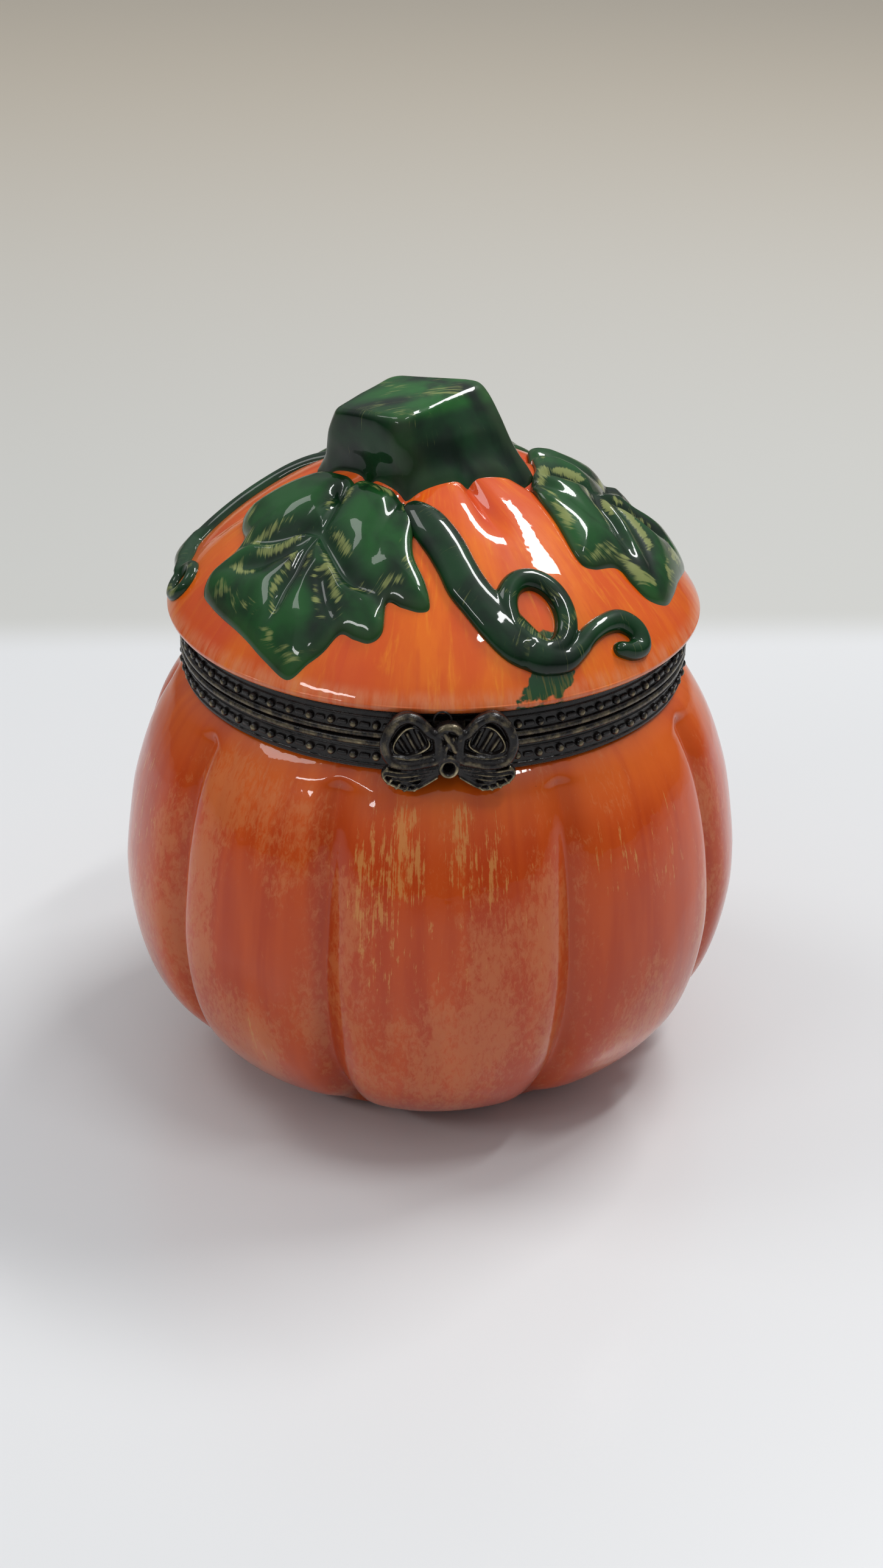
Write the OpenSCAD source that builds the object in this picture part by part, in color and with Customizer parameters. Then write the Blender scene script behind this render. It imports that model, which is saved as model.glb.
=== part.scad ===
// Lidded pumpkin trinket box: two lobed porcelain shells joined by beaded brass
// bezels, a rear pin hinge and a bow-shaped front clasp.
// Frame: origin at the centre of the foot, +Z up, the clasp faces -Y, the hinge is at +Y.
// Azimuths are in degrees from the front (-Y), growing towards +X.

/* [Pumpkin base] */
// Largest diameter, over the lobes
body_d = 64; // [56:0.5:70]
// Height of the shoulder, where the brass starts
shoulder_h = 43.6; // [38:0.2:48]
// Thickness of the porcelain wall
wall = 2.8; // [2.4:0.1:3.2]
// Greatest depth of the grooves between the lobes
groove = 3; // [0:0.1:3.4]
// Diameter of the flat foot
foot_d = 34; // [28:0.5:38]
// Depth of the recess under the foot
foot_recess = 0.8; // [0.4:0.1:1.4]

/* [Lid] */
// Largest diameter of the lid's rim
lid_d = 53.4; // [52.6:0.1:54.4]
// Rise of the dome above its rim
dome_h = 15.6; // [12:0.2:18]
// Depth of the grooves between the lid's lobes
lid_groove = 1.2; // [0:0.1:1.6]
// Height of the stem above the top of the dome
stem_h = 5.8; // [4:0.2:8]
// Thickness of a leaf at its middle
leaf_t = 1.5; // [0.8:0.1:1.8]
// Height of a vine above the lid
vine_t = 1.2; // [0.8:0.1:1.6]

/* [Brass] */
// Outer diameter of the brass bands
band_d = 50.4; // [50.2:0.1:50.6]
// Thickness of the brass band
band_t = 0.7; // [0.5:0.05:0.8]
// Height of one bezel
bezel_h = 3.1; // [2.9:0.1:3.3]
// Beads round each bezel
beads = 72; // [48:4:96]
// How far a bead stands out of its band
bead_out = 0.5; // [0.3:0.05:0.6]

/* [Hinge] */
// Outer diameter of the knuckles
knuckle_d = 2.4; // [2.2:0.1:2.8]
// Diameter of the hinge pin
pin_d = 1.1; // [0.9:0.05:1.3]
// Radial running clearance of the pin in the lid's knuckle
pin_clearance = 0.05; // [0.02:0.01:0.1]
// Length of each of the three knuckles
knuckle_l = 4; // [3:0.2:5]

/* [Clasp] */
// Width of the bow
bow_w = 12.4; // [11:0.2:14]
// Thickness of the cast bow
bow_t = 1.6; // [1.2:0.1:2]
// Width of the catch tongue
tongue_w = 3; // [2:0.2:4]

/* [Hidden] */

glaze_orange = [0.80, 0.27, 0.09];
lid_orange = [0.92, 0.40, 0.10];
glaze_green = [0.05, 0.24, 0.10];
antique_brass = [0.25, 0.20, 0.12];
cement_grey = [0.72, 0.69, 0.62];

body_r = body_d / 2;
lid_r = lid_d / 2;
foot_r = foot_d / 2;
band_r = band_d / 2;
band_in = band_r - band_t;          // inside of the brass bands
glue_t = 0.2;                       // cement between porcelain and brass
fit_gap = 0.02;                     // keeps faces that are bonded from cutting into each other
seat_gap = 0.1;                     // the same, under the relief on the lid
seat_fill = 0.2;                    // share of a groove's depth that the relief bridges
seat_hollow = 0.26;                 // how far the relief stands off the lid inside its outline
collar_r = band_in - glue_t;        // porcelain collar inside each band
mouth_r = collar_r - wall + 0.4;    // clear mouth of the box
lip_gap = 0.1;                      // between the closed bezels
part_z = shoulder_h - 0.1 + bezel_h + lip_gap / 2;  // middle of the parting line
flange_t = 0.5;                     // inward flange that covers the porcelain's edge
base_top = part_z - lip_gap / 2;
lid_bottom = part_z + lip_gap / 2;
rim_z = lid_bottom + bezel_h + 0.1; // underside of the lid's overhanging rim
dome_z = rim_z + 0.8;               // widest level of the lid

// Lobes: the groove azimuths, nine lobes of slightly different width as on a hand-made mould
grooves = [-57.5, -22.5, 24, 65, 105, 145, 186, 226, 264, 302.5];
lobe_steps = 12;
ring_azimuths = [for (i = [0 : len(grooves) - 2], k = [0 : lobe_steps - 1])
    grooves[i] + (grooves[i + 1] - grooves[i]) * k / lobe_steps];

function polar(r, az, z) = [r * sin(az), -r * cos(az), z];
// 0 at a lobe's crest, 1 in the groove; u runs from -1 to 1 across a lobe. A higher sharpness
// makes the lobe fuller and its groove narrower
function groove_shape(u, sharpness) = 0.25 * u * u + 0.375 * (1 - cos(180 * pow(abs(u), sharpness)));
base_sharpness = 5;
lid_sharpness = 3;
function lobe_of(az, i = 0) = (az < grooves[i + 1] || i == len(grooves) - 2) ? i : lobe_of(az, i + 1);
function groove_at(az, sharpness) =
    let (a = az < grooves[0] ? az + 360 : az >= grooves[0] + 360 ? az - 360 : az, i = lobe_of(a))
    groove_shape(2 * (a - grooves[i]) / (grooves[i + 1] - grooves[i]) - 1, sharpness);

// Catmull-Rom curve through a few outline points
function curve_point(p, i, t) =
    let (a = p[max(i - 1, 0)], b = p[i], c = p[i + 1], d = p[min(i + 2, len(p) - 1)])
    0.5 * (2 * b + (c - a) * t + (2 * a - 5 * b + 4 * c - d) * t * t + (3 * b - a - 3 * c + d) * t * t * t);
function curve(p, steps) = concat([for (i = [0 : len(p) - 2], k = [0 : steps - 1])
    curve_point(p, i, k / steps)], [p[len(p) - 1]]);

// Closed solid from rings of equal length, with its two ends closed by a fan
module ring_solid(rings) {
    n = len(rings[0]);
    m = len(rings);
    middle = function (ring) [for (k = [0 : 2]) [for (p = ring) p[k]] * [for (p = ring) 1] / n];
    points = concat([for (ring = rings) each ring], [middle(rings[0]), middle(rings[m - 1])]);
    sides = [for (j = [0 : m - 2], i = [0 : n - 1]) let (a = j * n + i, b = j * n + (i + 1) % n)
        each [[a, a + n, b], [b, a + n, b + n]]];
    ends = [for (i = [0 : n - 1]) each [[i, (i + 1) % n, m * n],
        [(m - 1) * n + (i + 1) % n, (m - 1) * n + i, m * n + 1]]];
    polyhedron(points, concat(sides, ends));
}

// ---- Porcelain base ----

// Outline over the lobes as [radius, height] fractions of the body radius and shoulder height
base_outline = [for (p = [[0.62, 0.035], [0.80, 0.13], [0.94, 0.27], [1.0, 0.47], [0.98, 0.67],
                          [0.92, 0.84], [0.84, 0.95]]) [p.x * body_r, p.y * shoulder_h]];
// Inside outline, from the neck down to the floor
base_inside = [[0.86 * body_r - wall, 0.84 * shoulder_h], [0.95 * body_r - wall, 0.66 * shoulder_h],
               [0.955 * body_r - wall, 0.47 * shoulder_h], [0.88 * body_r - wall, 0.27 * shoulder_h],
               [0.70 * body_r - wall, 0.145 * shoulder_h], [0.45 * body_r - wall, 0.095 * shoulder_h]];
inside_relief = 0.5;                // share of the lobes that shows inside
// Share of the grooves' depth at each share of the shoulder height: deepest low on the lobes
groove_fade = [[0, 0.5], [0.07, 0.9], [0.18, 1], [0.37, 0.87], [0.64, 0.72], [0.85, 0.52], [0.95, 0.36],
               [1, 0.1]];
function groove_depth(z) = groove * lookup(z / shoulder_h, groove_fade);

function base_ring(p, relief) = [for (az = ring_azimuths)
    polar(p.x - relief * groove_depth(p.y) * groove_at(az, base_sharpness), az, p.y)];
module base_shell() {
    collar_top = base_top - flange_t - fit_gap;
    foot = [[foot_r - 4, foot_recess], [foot_r - 3.4, 0], [foot_r, 0]];
    collar = [[collar_r + 0.5, shoulder_h - 0.25], [collar_r, shoulder_h - 0.15], [collar_r, collar_top],
              [mouth_r, collar_top], [mouth_r, shoulder_h - 1.5]];
    color(glaze_orange) ring_solid(concat(
        [for (p = foot) base_ring(p, 0)],
        [for (p = curve(base_outline, 3)) base_ring(p, 1)],
        [for (p = collar) base_ring(p, 0)],
        [for (p = curve(base_inside, 2)) base_ring(p, inside_relief)]));
}

// ---- Brass bezels ----

// Section of a bezel above its lower edge: band, inward flange and half-round lip
module bezel_section(lip_z) {
    translate([band_in, 0]) square([band_t, bezel_h]);
    translate([mouth_r, bezel_h - flange_t]) square([band_r - mouth_r, flange_t]);
    translate([band_r, lip_z]) circle(r = 0.38, $fn = 48);
}

module cement_ring(z0, z1) {
    rotate_extrude($fn = 180) translate([collar_r + fit_gap, z0]) square([glue_t - 2 * fit_gap, z1 - z0]);
}

// Strip of bead wire round a band, left out where the hinge sits
bead_strip_h = 0.9;
bead_root = 0.15;
points_per_bead = 6;
hinge_w = 3 * knuckle_l;
hinge_clear = 0.6;
module bead_strip(z) {
    outline = [for (i = [0 : beads * points_per_bead - 1]) let (az = 360 * i / (beads * points_per_bead))
        let (r = band_r + bead_root + (bead_out - bead_root) * pow(abs(cos(beads * az / 2)), 0.7))
        [r * sin(az), -r * cos(az)]];
    translate([0, 0, z]) linear_extrude(bead_strip_h) difference() {
        polygon(outline);
        circle(r = band_r + fit_gap, $fn = 180);
        translate([-hinge_w / 2 - hinge_clear, 0]) square([hinge_w + 2 * hinge_clear, body_r]);
    }
}

bezel_z = shoulder_h - 0.1;         // lower edge of the base's bezel
base_bead_z = bezel_z + 1.3;
lid_bead_z = lid_bottom + 1.3;
lip_z = bezel_h - 0.38;             // half-round lip above the bezel's lower edge

module base_bezel() color(antique_brass) difference() {
    translate([0, 0, bezel_z]) rotate_extrude($fn = 180) bezel_section(lip_z);
    hinge_seat();
}
module lid_bezel() color(antique_brass) difference() {
    translate([0, 0, lid_bottom + bezel_h]) mirror([0, 0, 1]) rotate_extrude($fn = 180)
        bezel_section(bezel_h - 0.38);
    hinge_seat();
}
module base_cement() color(cement_grey) cement_ring(bezel_z + 0.2, base_top - flange_t - fit_gap);
module lid_cement() color(cement_grey) cement_ring(lid_bottom + flange_t + fit_gap, rim_z - 0.3);
module base_bead_rim() color(antique_brass) bead_strip(base_bead_z - bead_strip_h / 2);
module lid_bead_rim() color(antique_brass) bead_strip(lid_bead_z - bead_strip_h / 2);

// ---- Hinge ----

knuckle_r = knuckle_d / 2;
axis_y = band_r + knuckle_r + 0.15; // hinge axis behind the bands, level with the parting line
knuckle_gap = 0.15;
leaf_plate_t = 0.5;
plate_h = 2;
head_t = 0.4;                       // thickness of the pin's riveted heads

// Flat on the back of each bezel where the hinge is soldered
module hinge_seat() {
    seat_y = sqrt(band_r * band_r - hinge_w * hinge_w / 4) + 0.25;
    translate([-hinge_w / 2 - hinge_clear, seat_y, part_z - 5]) cube([hinge_w + 2 * hinge_clear, 5, 10]);
}
module knuckle(x0, x1, bore_d, side) {
    seat_y = sqrt(band_r * band_r - hinge_w * hinge_w / 4) + 0.25 + fit_gap;
    difference() {
        union() {
            translate([x0, axis_y, part_z]) rotate([0, 90, 0]) cylinder(h = x1 - x0, r = knuckle_r, $fn = 64);
            // plate soldered to the bezel, joined to the knuckle by its web
            translate([x0, seat_y, side > 0 ? part_z + 0.2 : part_z - 0.2 - plate_h])
                cube([x1 - x0, leaf_plate_t, plate_h]);
            translate([x0, seat_y, side > 0 ? part_z + 0.2 : part_z - 0.9])
                cube([x1 - x0, axis_y - seat_y, 0.7]);
        }
        translate([x0 - 1, axis_y, part_z]) rotate([0, 90, 0]) cylinder(h = x1 - x0 + 2, d = bore_d, $fn = 64);
    }
}
module base_hinge_knuckles() color(antique_brass) {
    knuckle(-1.5 * knuckle_l, -0.5 * knuckle_l - knuckle_gap, pin_d, -1);
    knuckle(0.5 * knuckle_l + knuckle_gap, 1.5 * knuckle_l, pin_d, -1);
}
module lid_hinge_knuckle() color(antique_brass)
    knuckle(-0.5 * knuckle_l, 0.5 * knuckle_l, pin_d + 2 * pin_clearance, 1);
// Pin with riveted heads, fast in the base's knuckles
module hinge_pin() color(antique_brass) translate([0, axis_y, part_z]) rotate([0, 90, 0]) {
    cylinder(h = hinge_w + head_t, d = pin_d - 0.001, center = true, $fn = 64);
    for (side = [-1, 1]) translate([0, 0, side * (hinge_w + head_t + 2 * fit_gap) / 2])
        cylinder(h = head_t, d = pin_d + 0.7, center = true, $fn = 64);
}

// ---- Clasp ----

bow_back = band_r + bead_out + 0.9; // distance of the bow's back from the box's axis
bow_s = bow_w / 12.4;
// Half of the bow's outline, to the right of the knot, as [across, up] from its middle
wing = [[0.7, 1.6], [1.5, 2.3], [2.6, 3.5], [3.9, 4.0], [5.2, 3.3], [6.0, 1.9], [6.2, 0.7], [5.8, -0.6],
        [5.0, -1.3], [3.6, -1.5], [2.0, -1.2], [0.7, -0.7]];
window = [[1.8, 0.9], [2.4, 2.2], [3.2, 2.7], [4.2, 2.3], [5.0, 1.1], [5.0, 0.3], [4.2, -0.2], [2.9, 0.0]];
tail = [[0.6, -0.8], [2.0, -1.2], [3.6, -1.3], [5.4, -1.4], [6.1, -2.0], [5.9, -2.7], [5.1, -3.4],
        [3.5, -3.9], [2.4, -3.5], [1.0, -2.6], [0.5, -1.9]];
bow_floor = 0.7;                    // thickness of the sunk fields inside the rims
module bow_clasp() color(antique_brass) translate([0, -bow_back, part_z]) rotate([90, 0, 0]) scale(bow_s) {
    for (side = [0, 1]) mirror([side, 0, 0]) {
        difference() {
            linear_extrude(bow_t - 0.2) polygon(curve(concat(wing, [wing[0]]), 3));
            translate([0, 0, bow_floor]) linear_extrude(bow_t) polygon(curve(concat(window, [window[0]]), 3));
        }
        // ribs across the sunk window
        for (k = [0 : 2]) translate([2.9 + 0.7 * k, 1.1, bow_floor - 0.1]) rotate([0, 0, -25])
            translate([-0.12, -1.2]) cube([0.24, 2.3, 0.5]);
        linear_extrude(bow_t - 0.5) polygon(curve(concat(tail, [tail[0]]), 3));
    }
    // knot, with a small loop below it
    translate([0, 1.2, 0]) linear_extrude(bow_t) circle(r = 1.7, $fn = 48);
    translate([0, -1.4, 0]) linear_extrude(bow_t - 0.2) difference() {
        circle(r = 1.1, $fn = 48);
        circle(r = 0.4, $fn = 48);
    }
}

// Solder block that carries the bow on the base's band, below the catch
module clasp_bracket() color(antique_brass) difference() {
    translate([-1.3, -bow_back + fit_gap, bezel_z + 0.7]) cube([2.6, bow_back - band_r + 0.4, 0.6]);
    cylinder(r = band_r + bead_out + fit_gap, h = 100, $fn = 180);
}

// Spring tongue of the lid: soldered on the lid's band, it drops behind the knot
tongue_t = 0.35;
tongue_back = band_r + bead_out + 0.2;
tongue_end = bezel_z + 1.7;
module catch_tongue() color(antique_brass) {
    difference() {
        translate([-tongue_w / 2, -tongue_back - tongue_t, lid_bead_z + 0.55])
            cube([tongue_w, tongue_back + tongue_t - band_r + 0.5, 0.6]);
        cylinder(r = band_r + fit_gap, h = 100, $fn = 180);
    }
    translate([-tongue_w / 2, -tongue_back - tongue_t, tongue_end])
        cube([tongue_w, tongue_t, lid_bead_z + 0.7 - tongue_end]);
    // dimple that snaps behind the knot
    translate([0, -tongue_back - tongue_t, tongue_end + 0.5]) intersection() {
        sphere(r = 0.22, $fn = 48);
        translate([-1, -1, -1]) cube([2, 1.05, 2]);
    }
}

// ---- Porcelain lid ----

function dome(r) = dome_z + dome_h * pow(1 - pow(min(r / lid_r, 1), 1.78), 0.84);
function lid_top(r, az, fill = 0) = dome(r)
    - lid_groove * min(1, r / 6) * (1 - pow(min(r / (lid_r - 0.4), 1), 1.4))
    * max(0, groove_at(az, lid_sharpness) - fill);
// Underside of the relief above a point of the lid
function seat_z(p) = lid_top(norm(p), atan2(p.x, -p.y), seat_fill) + seat_gap;

module lid_shell() {
    ring = function (r, z) [for (az = ring_azimuths) polar(r, az, z)];
    collar_end = lid_bottom + flange_t + fit_gap;
    dome_radii = [for (k = [1 : 12]) lid_r * sin(90 * k / 12)];
    under = lid_top(0, 0) - wall;
    inside_r = mouth_r;
    color(lid_orange) ring_solid(concat(
        [for (r = dome_radii) [for (az = ring_azimuths) polar(r, az, lid_top(r, az))]],
        [ring(lid_r - 0.25, dome_z - 0.55), ring(lid_r - 0.8, rim_z + 0.02), ring(collar_r, rim_z + 0.02),
         ring(collar_r, collar_end), ring(inside_r, collar_end)],
        [for (k = [0 : 7]) let (a = 90 * k / 8)
            ring(inside_r * cos(a), dome_z - 1.2 + (under - dome_z + 1.2) * sin(a))]));
}

// ---- Stem ----

// Four-sided stem, flared at its foot and twisted a little; each level is
// [half length across, half length front to back, turn, x, y, share of the height, shift of the
// front corner to the right]
stem_top = dome_z + dome_h + stem_h;
stem_levels = [[11.2, 8.4, -14, -1.2, -0.1, 0.06, 0], [10.0, 7.9, -10, -1.7, 0.0, 0.26, -0.2],
               [9.0, 7.5, -4, -2.2, 0.1, 0.55, -0.8], [8.0, 7.0, 4, -2.6, 0.2, 0.88, -1.5],
               [6.3, 5.9, 9, -3.0, 0.3, 1, -1.6]];
stem_foot = [11.9, 8.8, -15, -1.1, -0.15, 0, 0];
stem_edge = 9;                      // points on each side of the stem
stem_corner = 0.92;                 // how far its corners reach before they are rounded off
stem_tilt = 0.15;                   // slope of the top, rising towards +X
function square_corner(k) = [sin(90 * k), -cos(90 * k)];
function square_point(level, i, s = 1) =
    let (side = floor(i / stem_edge), t = (i % stem_edge) / stem_edge,
         flat = (1 - t) * square_corner(side) + t * square_corner(side + 1),
         p = flat * s / max(1, norm(flat) / stem_corner), q = [p.x * level[0], p.y * level[1]], a = level[2])
    [level[3] + q.x * cos(a) - q.y * sin(a) + level[6] * max(0, -p.y), level[4] + q.x * sin(a) + q.y * cos(a)];
module stem() {
    last = 4 * stem_edge - 1;
    seat = [for (s = [0.25, 0.5, 0.75, 1]) [for (i = [0 : last])
        let (p = square_point(stem_foot, i, s)) [p.x, p.y, seat_z(p) + (s < 1 ? 2 : 1) * seat_hollow / 2]]];
    foot = seat[len(seat) - 1];
    sides = [for (level = stem_levels) [for (i = [0 : last])
        let (p = square_point(level, i), f = foot[i].z + 0.3)
        [p.x, p.y, f + (stem_top + stem_tilt * (p.x + 3) - 0.5 - f) * level[5]]]];
    top = [for (s = [0.8, 0.4]) [for (i = [0 : last])
        let (p = square_point(stem_levels[4], i, s)) [p.x, p.y, stem_top + stem_tilt * (p.x + 3) - 0.4 * s]]];
    color(glaze_green) ring_solid(concat(seat, sides, top));
}

// ---- Leaves ----

// Leaf outline in plan as [across, outwards from the lid's axis]; its ribs meet at leaf_hub
leaf_hub = [-0.4, 15.6];
leaf_outline = [[-7.3, 8.6], [-11.1, 10.6], [-12.9, 13.1], [-11.7, 15.0], [-9.7, 17.1], [-9.7, 18.8],
                [-10.5, 20.8], [-9, 22.5], [-5.4, 23.8], [-1.3, 24.9], [1.9, 25.6], [4.9, 25.7],
                [6.5, 24.1], [7.6, 21.6], [10.0, 20.8], [10.8, 19.4], [9.8, 17.5], [12.1, 16.5],
                [13.0, 15.3], [11.1, 14.1], [8.4, 12.7], [6, 10.4], [3.7, 9.1], [-1.3, 9.2]];
// The right leaf reaches further round at its front
leaf_right_outline = [[-6.3, 9.6], [-9.2, 11.2], [-12.5, 12.9], [-12.8, 14.4], [-11.0, 16.9], [-11.7, 18.4],
                      [-11.9, 19.9], [-10.6, 21.8], [-7.1, 23.2], [-3.3, 24.3], for (k = [10 : 21]) leaf_outline[k],
                      [3.6, 9.6], [-1.3, 9.9]];
leaf_layers = [0.25, 0.5, 0.7, 0.86, 1];
leaf_rim = 0.35;                    // thickness of a leaf at its outline
leaf_lift = 0.06;                   // how much its outline stands off between two points of the lid
leaf_steps = 3;
module leaf(az, points) {
    outline = [for (i = [0 : len(points) - 1], k = [0 : leaf_steps - 1]) let (n = len(points))
        let (p = [for (d = [-1 : 2]) points[(i + d + n) % n]], t = k / leaf_steps)
        0.5 * (2 * p[1] + (p[2] - p[0]) * t + (2 * p[0] - 5 * p[1] + 4 * p[2] - p[3]) * t * t
            + (3 * p[1] - p[0] - 3 * p[2] + p[3]) * t * t * t)];
    place = function (q, rise) let (p = [q.x * cos(az) + q.y * sin(az), q.x * sin(az) - q.y * cos(az)])
        [p.x, p.y, seat_z(p) + rise];
    layer = function (s, rise) [for (q = outline) place(leaf_hub + s * (q - leaf_hub), rise)];
    color(glaze_green) ring_solid(concat(
        [for (s = leaf_layers) layer(s, s < 1 ? seat_hollow : leaf_lift)],
        [layer(1, leaf_rim)],
        [for (j = [len(leaf_layers) - 2 : -1 : 0]) let (s = leaf_layers[j])
            layer(s, leaf_rim + (leaf_t - leaf_rim) * sqrt(1 - s * s))]));
}

// ---- Vines ----

// Centre lines in plan, as [across, outwards, half width]: main run and tendril
vine_run = [[-5.1, 10.5, 1.3], [-4.7, 12.2, 1.7], [-4.4, 14.2, 1.85], [-4.1, 16.3, 1.8], [-3.8, 18.0, 1.9],
            [-3.1, 19.6, 1.9], [-1.9, 21.5, 2.1], [-0.5, 23.2, 2.1], [1.4, 24.3, 1.7]];
vine_tendril = [[1.4, 24.3, 1.7], [3.3, 24.5, 1.2], [5.0, 23.7, 0.9], [6.8, 22.6, 0.85], [8.7, 21.6, 0.95],
                [10.5, 21.0, 1.05], [12.0, 21.2, 1.05], [12.2, 22.3, 0.95], [11.0, 23.1, 0.85],
                [9.7, 23.3, 0.6]];
// Ring of each vine: [across, outwards] of its middle, radius across and outwards, turn, half width
vine_ring = [1.9, 21.1, 2.75, 2.75, 0, 1.05];
// The left vine runs lower, and its ring ends the tendril on the lid's edge
vine_left_run = [[-5.4, 10.4, 1.2], [-5.2, 12.2, 1.2], [-4.9, 14.2, 1.1], [-4.4, 16.4, 1], [-3.6, 18.4, 1],
                 [-2.4, 20.3, 1], [-0.9, 22.1, 1], [0.9, 23.7, 1.1], [2.9, 24.7, 1.3]];
vine_left_tendril = [[2.9, 24.7, 1.3], [4.7, 24.7, 1.5], [6.3, 24.2, 1.4], [7.8, 23.7, 1], [9.4, 23.3, 0.7]];
vine_left_ring = [11.3, 22.3, 1.8, 1.05, -27, 0.65];
bridge = 0.06;                      // how much a flat-bottomed section is raised over the lid, per half width squared
module vine(az, run_line, tendril_line, ring) {
    place = function (q, rise) let (p = [q.x * cos(az) + q.y * sin(az), q.x * sin(az) - q.y * cos(az)])
        [p.x, p.y, seat_z(p) + rise];
    // D-shaped section across the centre line at q, with half width w
    section = function (q, side, w) [for (a = [0 : 45 : 180])
        place(q + side * w * cos(a), bridge * w * w + (vine_t - bridge * w * w) * sin(a))];
    run = function (line) let (m = len(line) - 1) [for (i = [0 : m])
        let (d = line[min(i + 1, m)] - line[max(i - 1, 0)], side = [d.y, -d.x] / norm([d.x, d.y]))
        section([line[i].x, line[i].y], side, line[i].z)];
    turned = function (x, y) [x * cos(ring[4]) - y * sin(ring[4]), x * sin(ring[4]) + y * cos(ring[4])];
    round_ring = [for (a = [0 : 20 : 360]) section([ring.x, ring.y] + turned(ring[2] * cos(a), ring[3] * sin(a)),
        turned(cos(a), sin(a)), ring[5])];
    color(glaze_green) for (line = [run(curve(run_line, 2)), run(curve(tendril_line, 2)), round_ring])
        for (i = [1 : len(line) - 1])
            hull() polyhedron(concat(line[i - 1], line[i]), [[0, 1, 2, 3, 4], [9, 8, 7, 6, 5]]);
}

leaf_az = [-45, 90, 185];
vine_az = [18, 248];
module leaf_front() leaf(leaf_az[0], leaf_outline);
module leaf_right() leaf(leaf_az[1], leaf_right_outline);
module leaf_back() leaf(leaf_az[2], leaf_outline);
module vine_front() vine(vine_az[0], vine_run, vine_tendril, vine_ring);
module vine_left() vine(vine_az[1], vine_left_run, vine_left_tendril, vine_left_ring);

base_shell();
base_cement();
base_bezel();
base_bead_rim();
clasp_bracket();
bow_clasp();
base_hinge_knuckles();
hinge_pin();
lid_shell();
lid_cement();
lid_bezel();
lid_bead_rim();
lid_hinge_knuckle();
catch_tongue();
stem();
leaf_front();
leaf_right();
leaf_back();
vine_front();
vine_left();
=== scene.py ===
"""Pumpkin trinket box: its finish and fine shapes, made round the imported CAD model.

Lengths in this script are in millimetres and are turned into metres where a mesh is made.
Azimuths are in degrees from the front (-Y), growing towards +X.
"""
import math

import bpy
import numpy as np
from mathutils import Matrix, Vector, noise

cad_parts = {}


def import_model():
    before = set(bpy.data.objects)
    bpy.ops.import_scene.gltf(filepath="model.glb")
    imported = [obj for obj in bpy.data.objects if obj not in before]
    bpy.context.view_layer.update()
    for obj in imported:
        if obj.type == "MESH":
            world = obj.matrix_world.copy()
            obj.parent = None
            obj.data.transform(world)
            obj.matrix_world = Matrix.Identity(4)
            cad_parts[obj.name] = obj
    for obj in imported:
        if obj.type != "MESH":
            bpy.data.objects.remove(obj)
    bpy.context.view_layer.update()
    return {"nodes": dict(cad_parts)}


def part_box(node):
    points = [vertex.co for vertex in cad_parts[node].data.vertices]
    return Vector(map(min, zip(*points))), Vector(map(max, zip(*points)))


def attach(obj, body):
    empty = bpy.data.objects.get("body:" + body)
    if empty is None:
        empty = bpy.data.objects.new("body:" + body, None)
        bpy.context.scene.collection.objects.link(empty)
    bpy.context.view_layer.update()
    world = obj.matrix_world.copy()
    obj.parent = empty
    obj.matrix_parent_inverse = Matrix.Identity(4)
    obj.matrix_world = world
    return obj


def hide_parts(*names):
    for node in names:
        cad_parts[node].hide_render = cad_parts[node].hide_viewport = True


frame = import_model()

MM = 0.001


def box_mm(node):
    """Lowest and highest corner of a CAD node, in millimetres."""
    low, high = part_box(node)
    return np.array(low) / MM, np.array(high) / MM


# ---- Dimensions shared with the CAD model ----

BODY_R = 31.92  # over the lobes of the base, a hair inside the CAD's 32
SHOULDER_H = 43.6  # height of the base's shoulder
WALL = 2.8  # thickness of the porcelain
FOOT_R = 17.0
FOOT_RECESS = 0.8
BAND_R = 25.2  # outside of the brass bands
COLLAR_R = 24.3  # porcelain collar inside each band
MOUTH_R = 21.9
LID_R = 26.7
BASE_GROOVE, LID_GROOVE = 3.0, 1.2  # greatest depth of the grooves
BASE_SHARPNESS, LID_SHARPNESS = 5, 3
# Share of the base's groove depth at each share of the shoulder height
GROOVE_FADE = [
    [0, 0.5], [0.07, 0.9], [0.18, 1], [0.37, 0.87], [0.64, 0.72], [0.85, 0.52], [0.95, 0.36], [1, 0.1]]
SHORT_GROOVE = 24  # azimuth of the lid's groove that runs out early
BASE_BAND = [box_mm("base_bezel")[k][2] for k in (0, 1)]  # lower and upper level of each band
LID_BAND = [box_mm("lid_bezel")[k][2] for k in (0, 1)]
PART_Z = (BASE_BAND[1] + LID_BAND[0]) / 2
RIM_Z = LID_BAND[1] + 0.1  # underside of the lid's rim
DOME_Z = RIM_Z + 0.8  # widest level of the lid
DOME_H = 15.6
STEM_TOP = DOME_Z + DOME_H + 5.8
HINGE_HALF = 6.6  # half width left free for the hinge
BOW_BACK = -box_mm("bow_clasp")[1][1]  # back face of the bow, in front of the axis
GROOVES = np.array([-57.5, -22.5, 24, 65, 105, 145, 186, 226, 264, 302.5])
STEPS_PER_LOBE = 48  # columns of both shells in each lobe
LEAF_AZ = {"leaf_front": -45, "leaf_right": 90, "leaf_back": 185}
VINE_AZ = {"vine_front": 18, "vine_left": 248}


# ---- Shape helpers ----

def ramp(x, low, high):
    """Smooth rise from 0 at low to 1 at high."""
    t = np.clip((x - low) / (high - low), 0, 1)
    return t * t * (3 - 2 * t)


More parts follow.
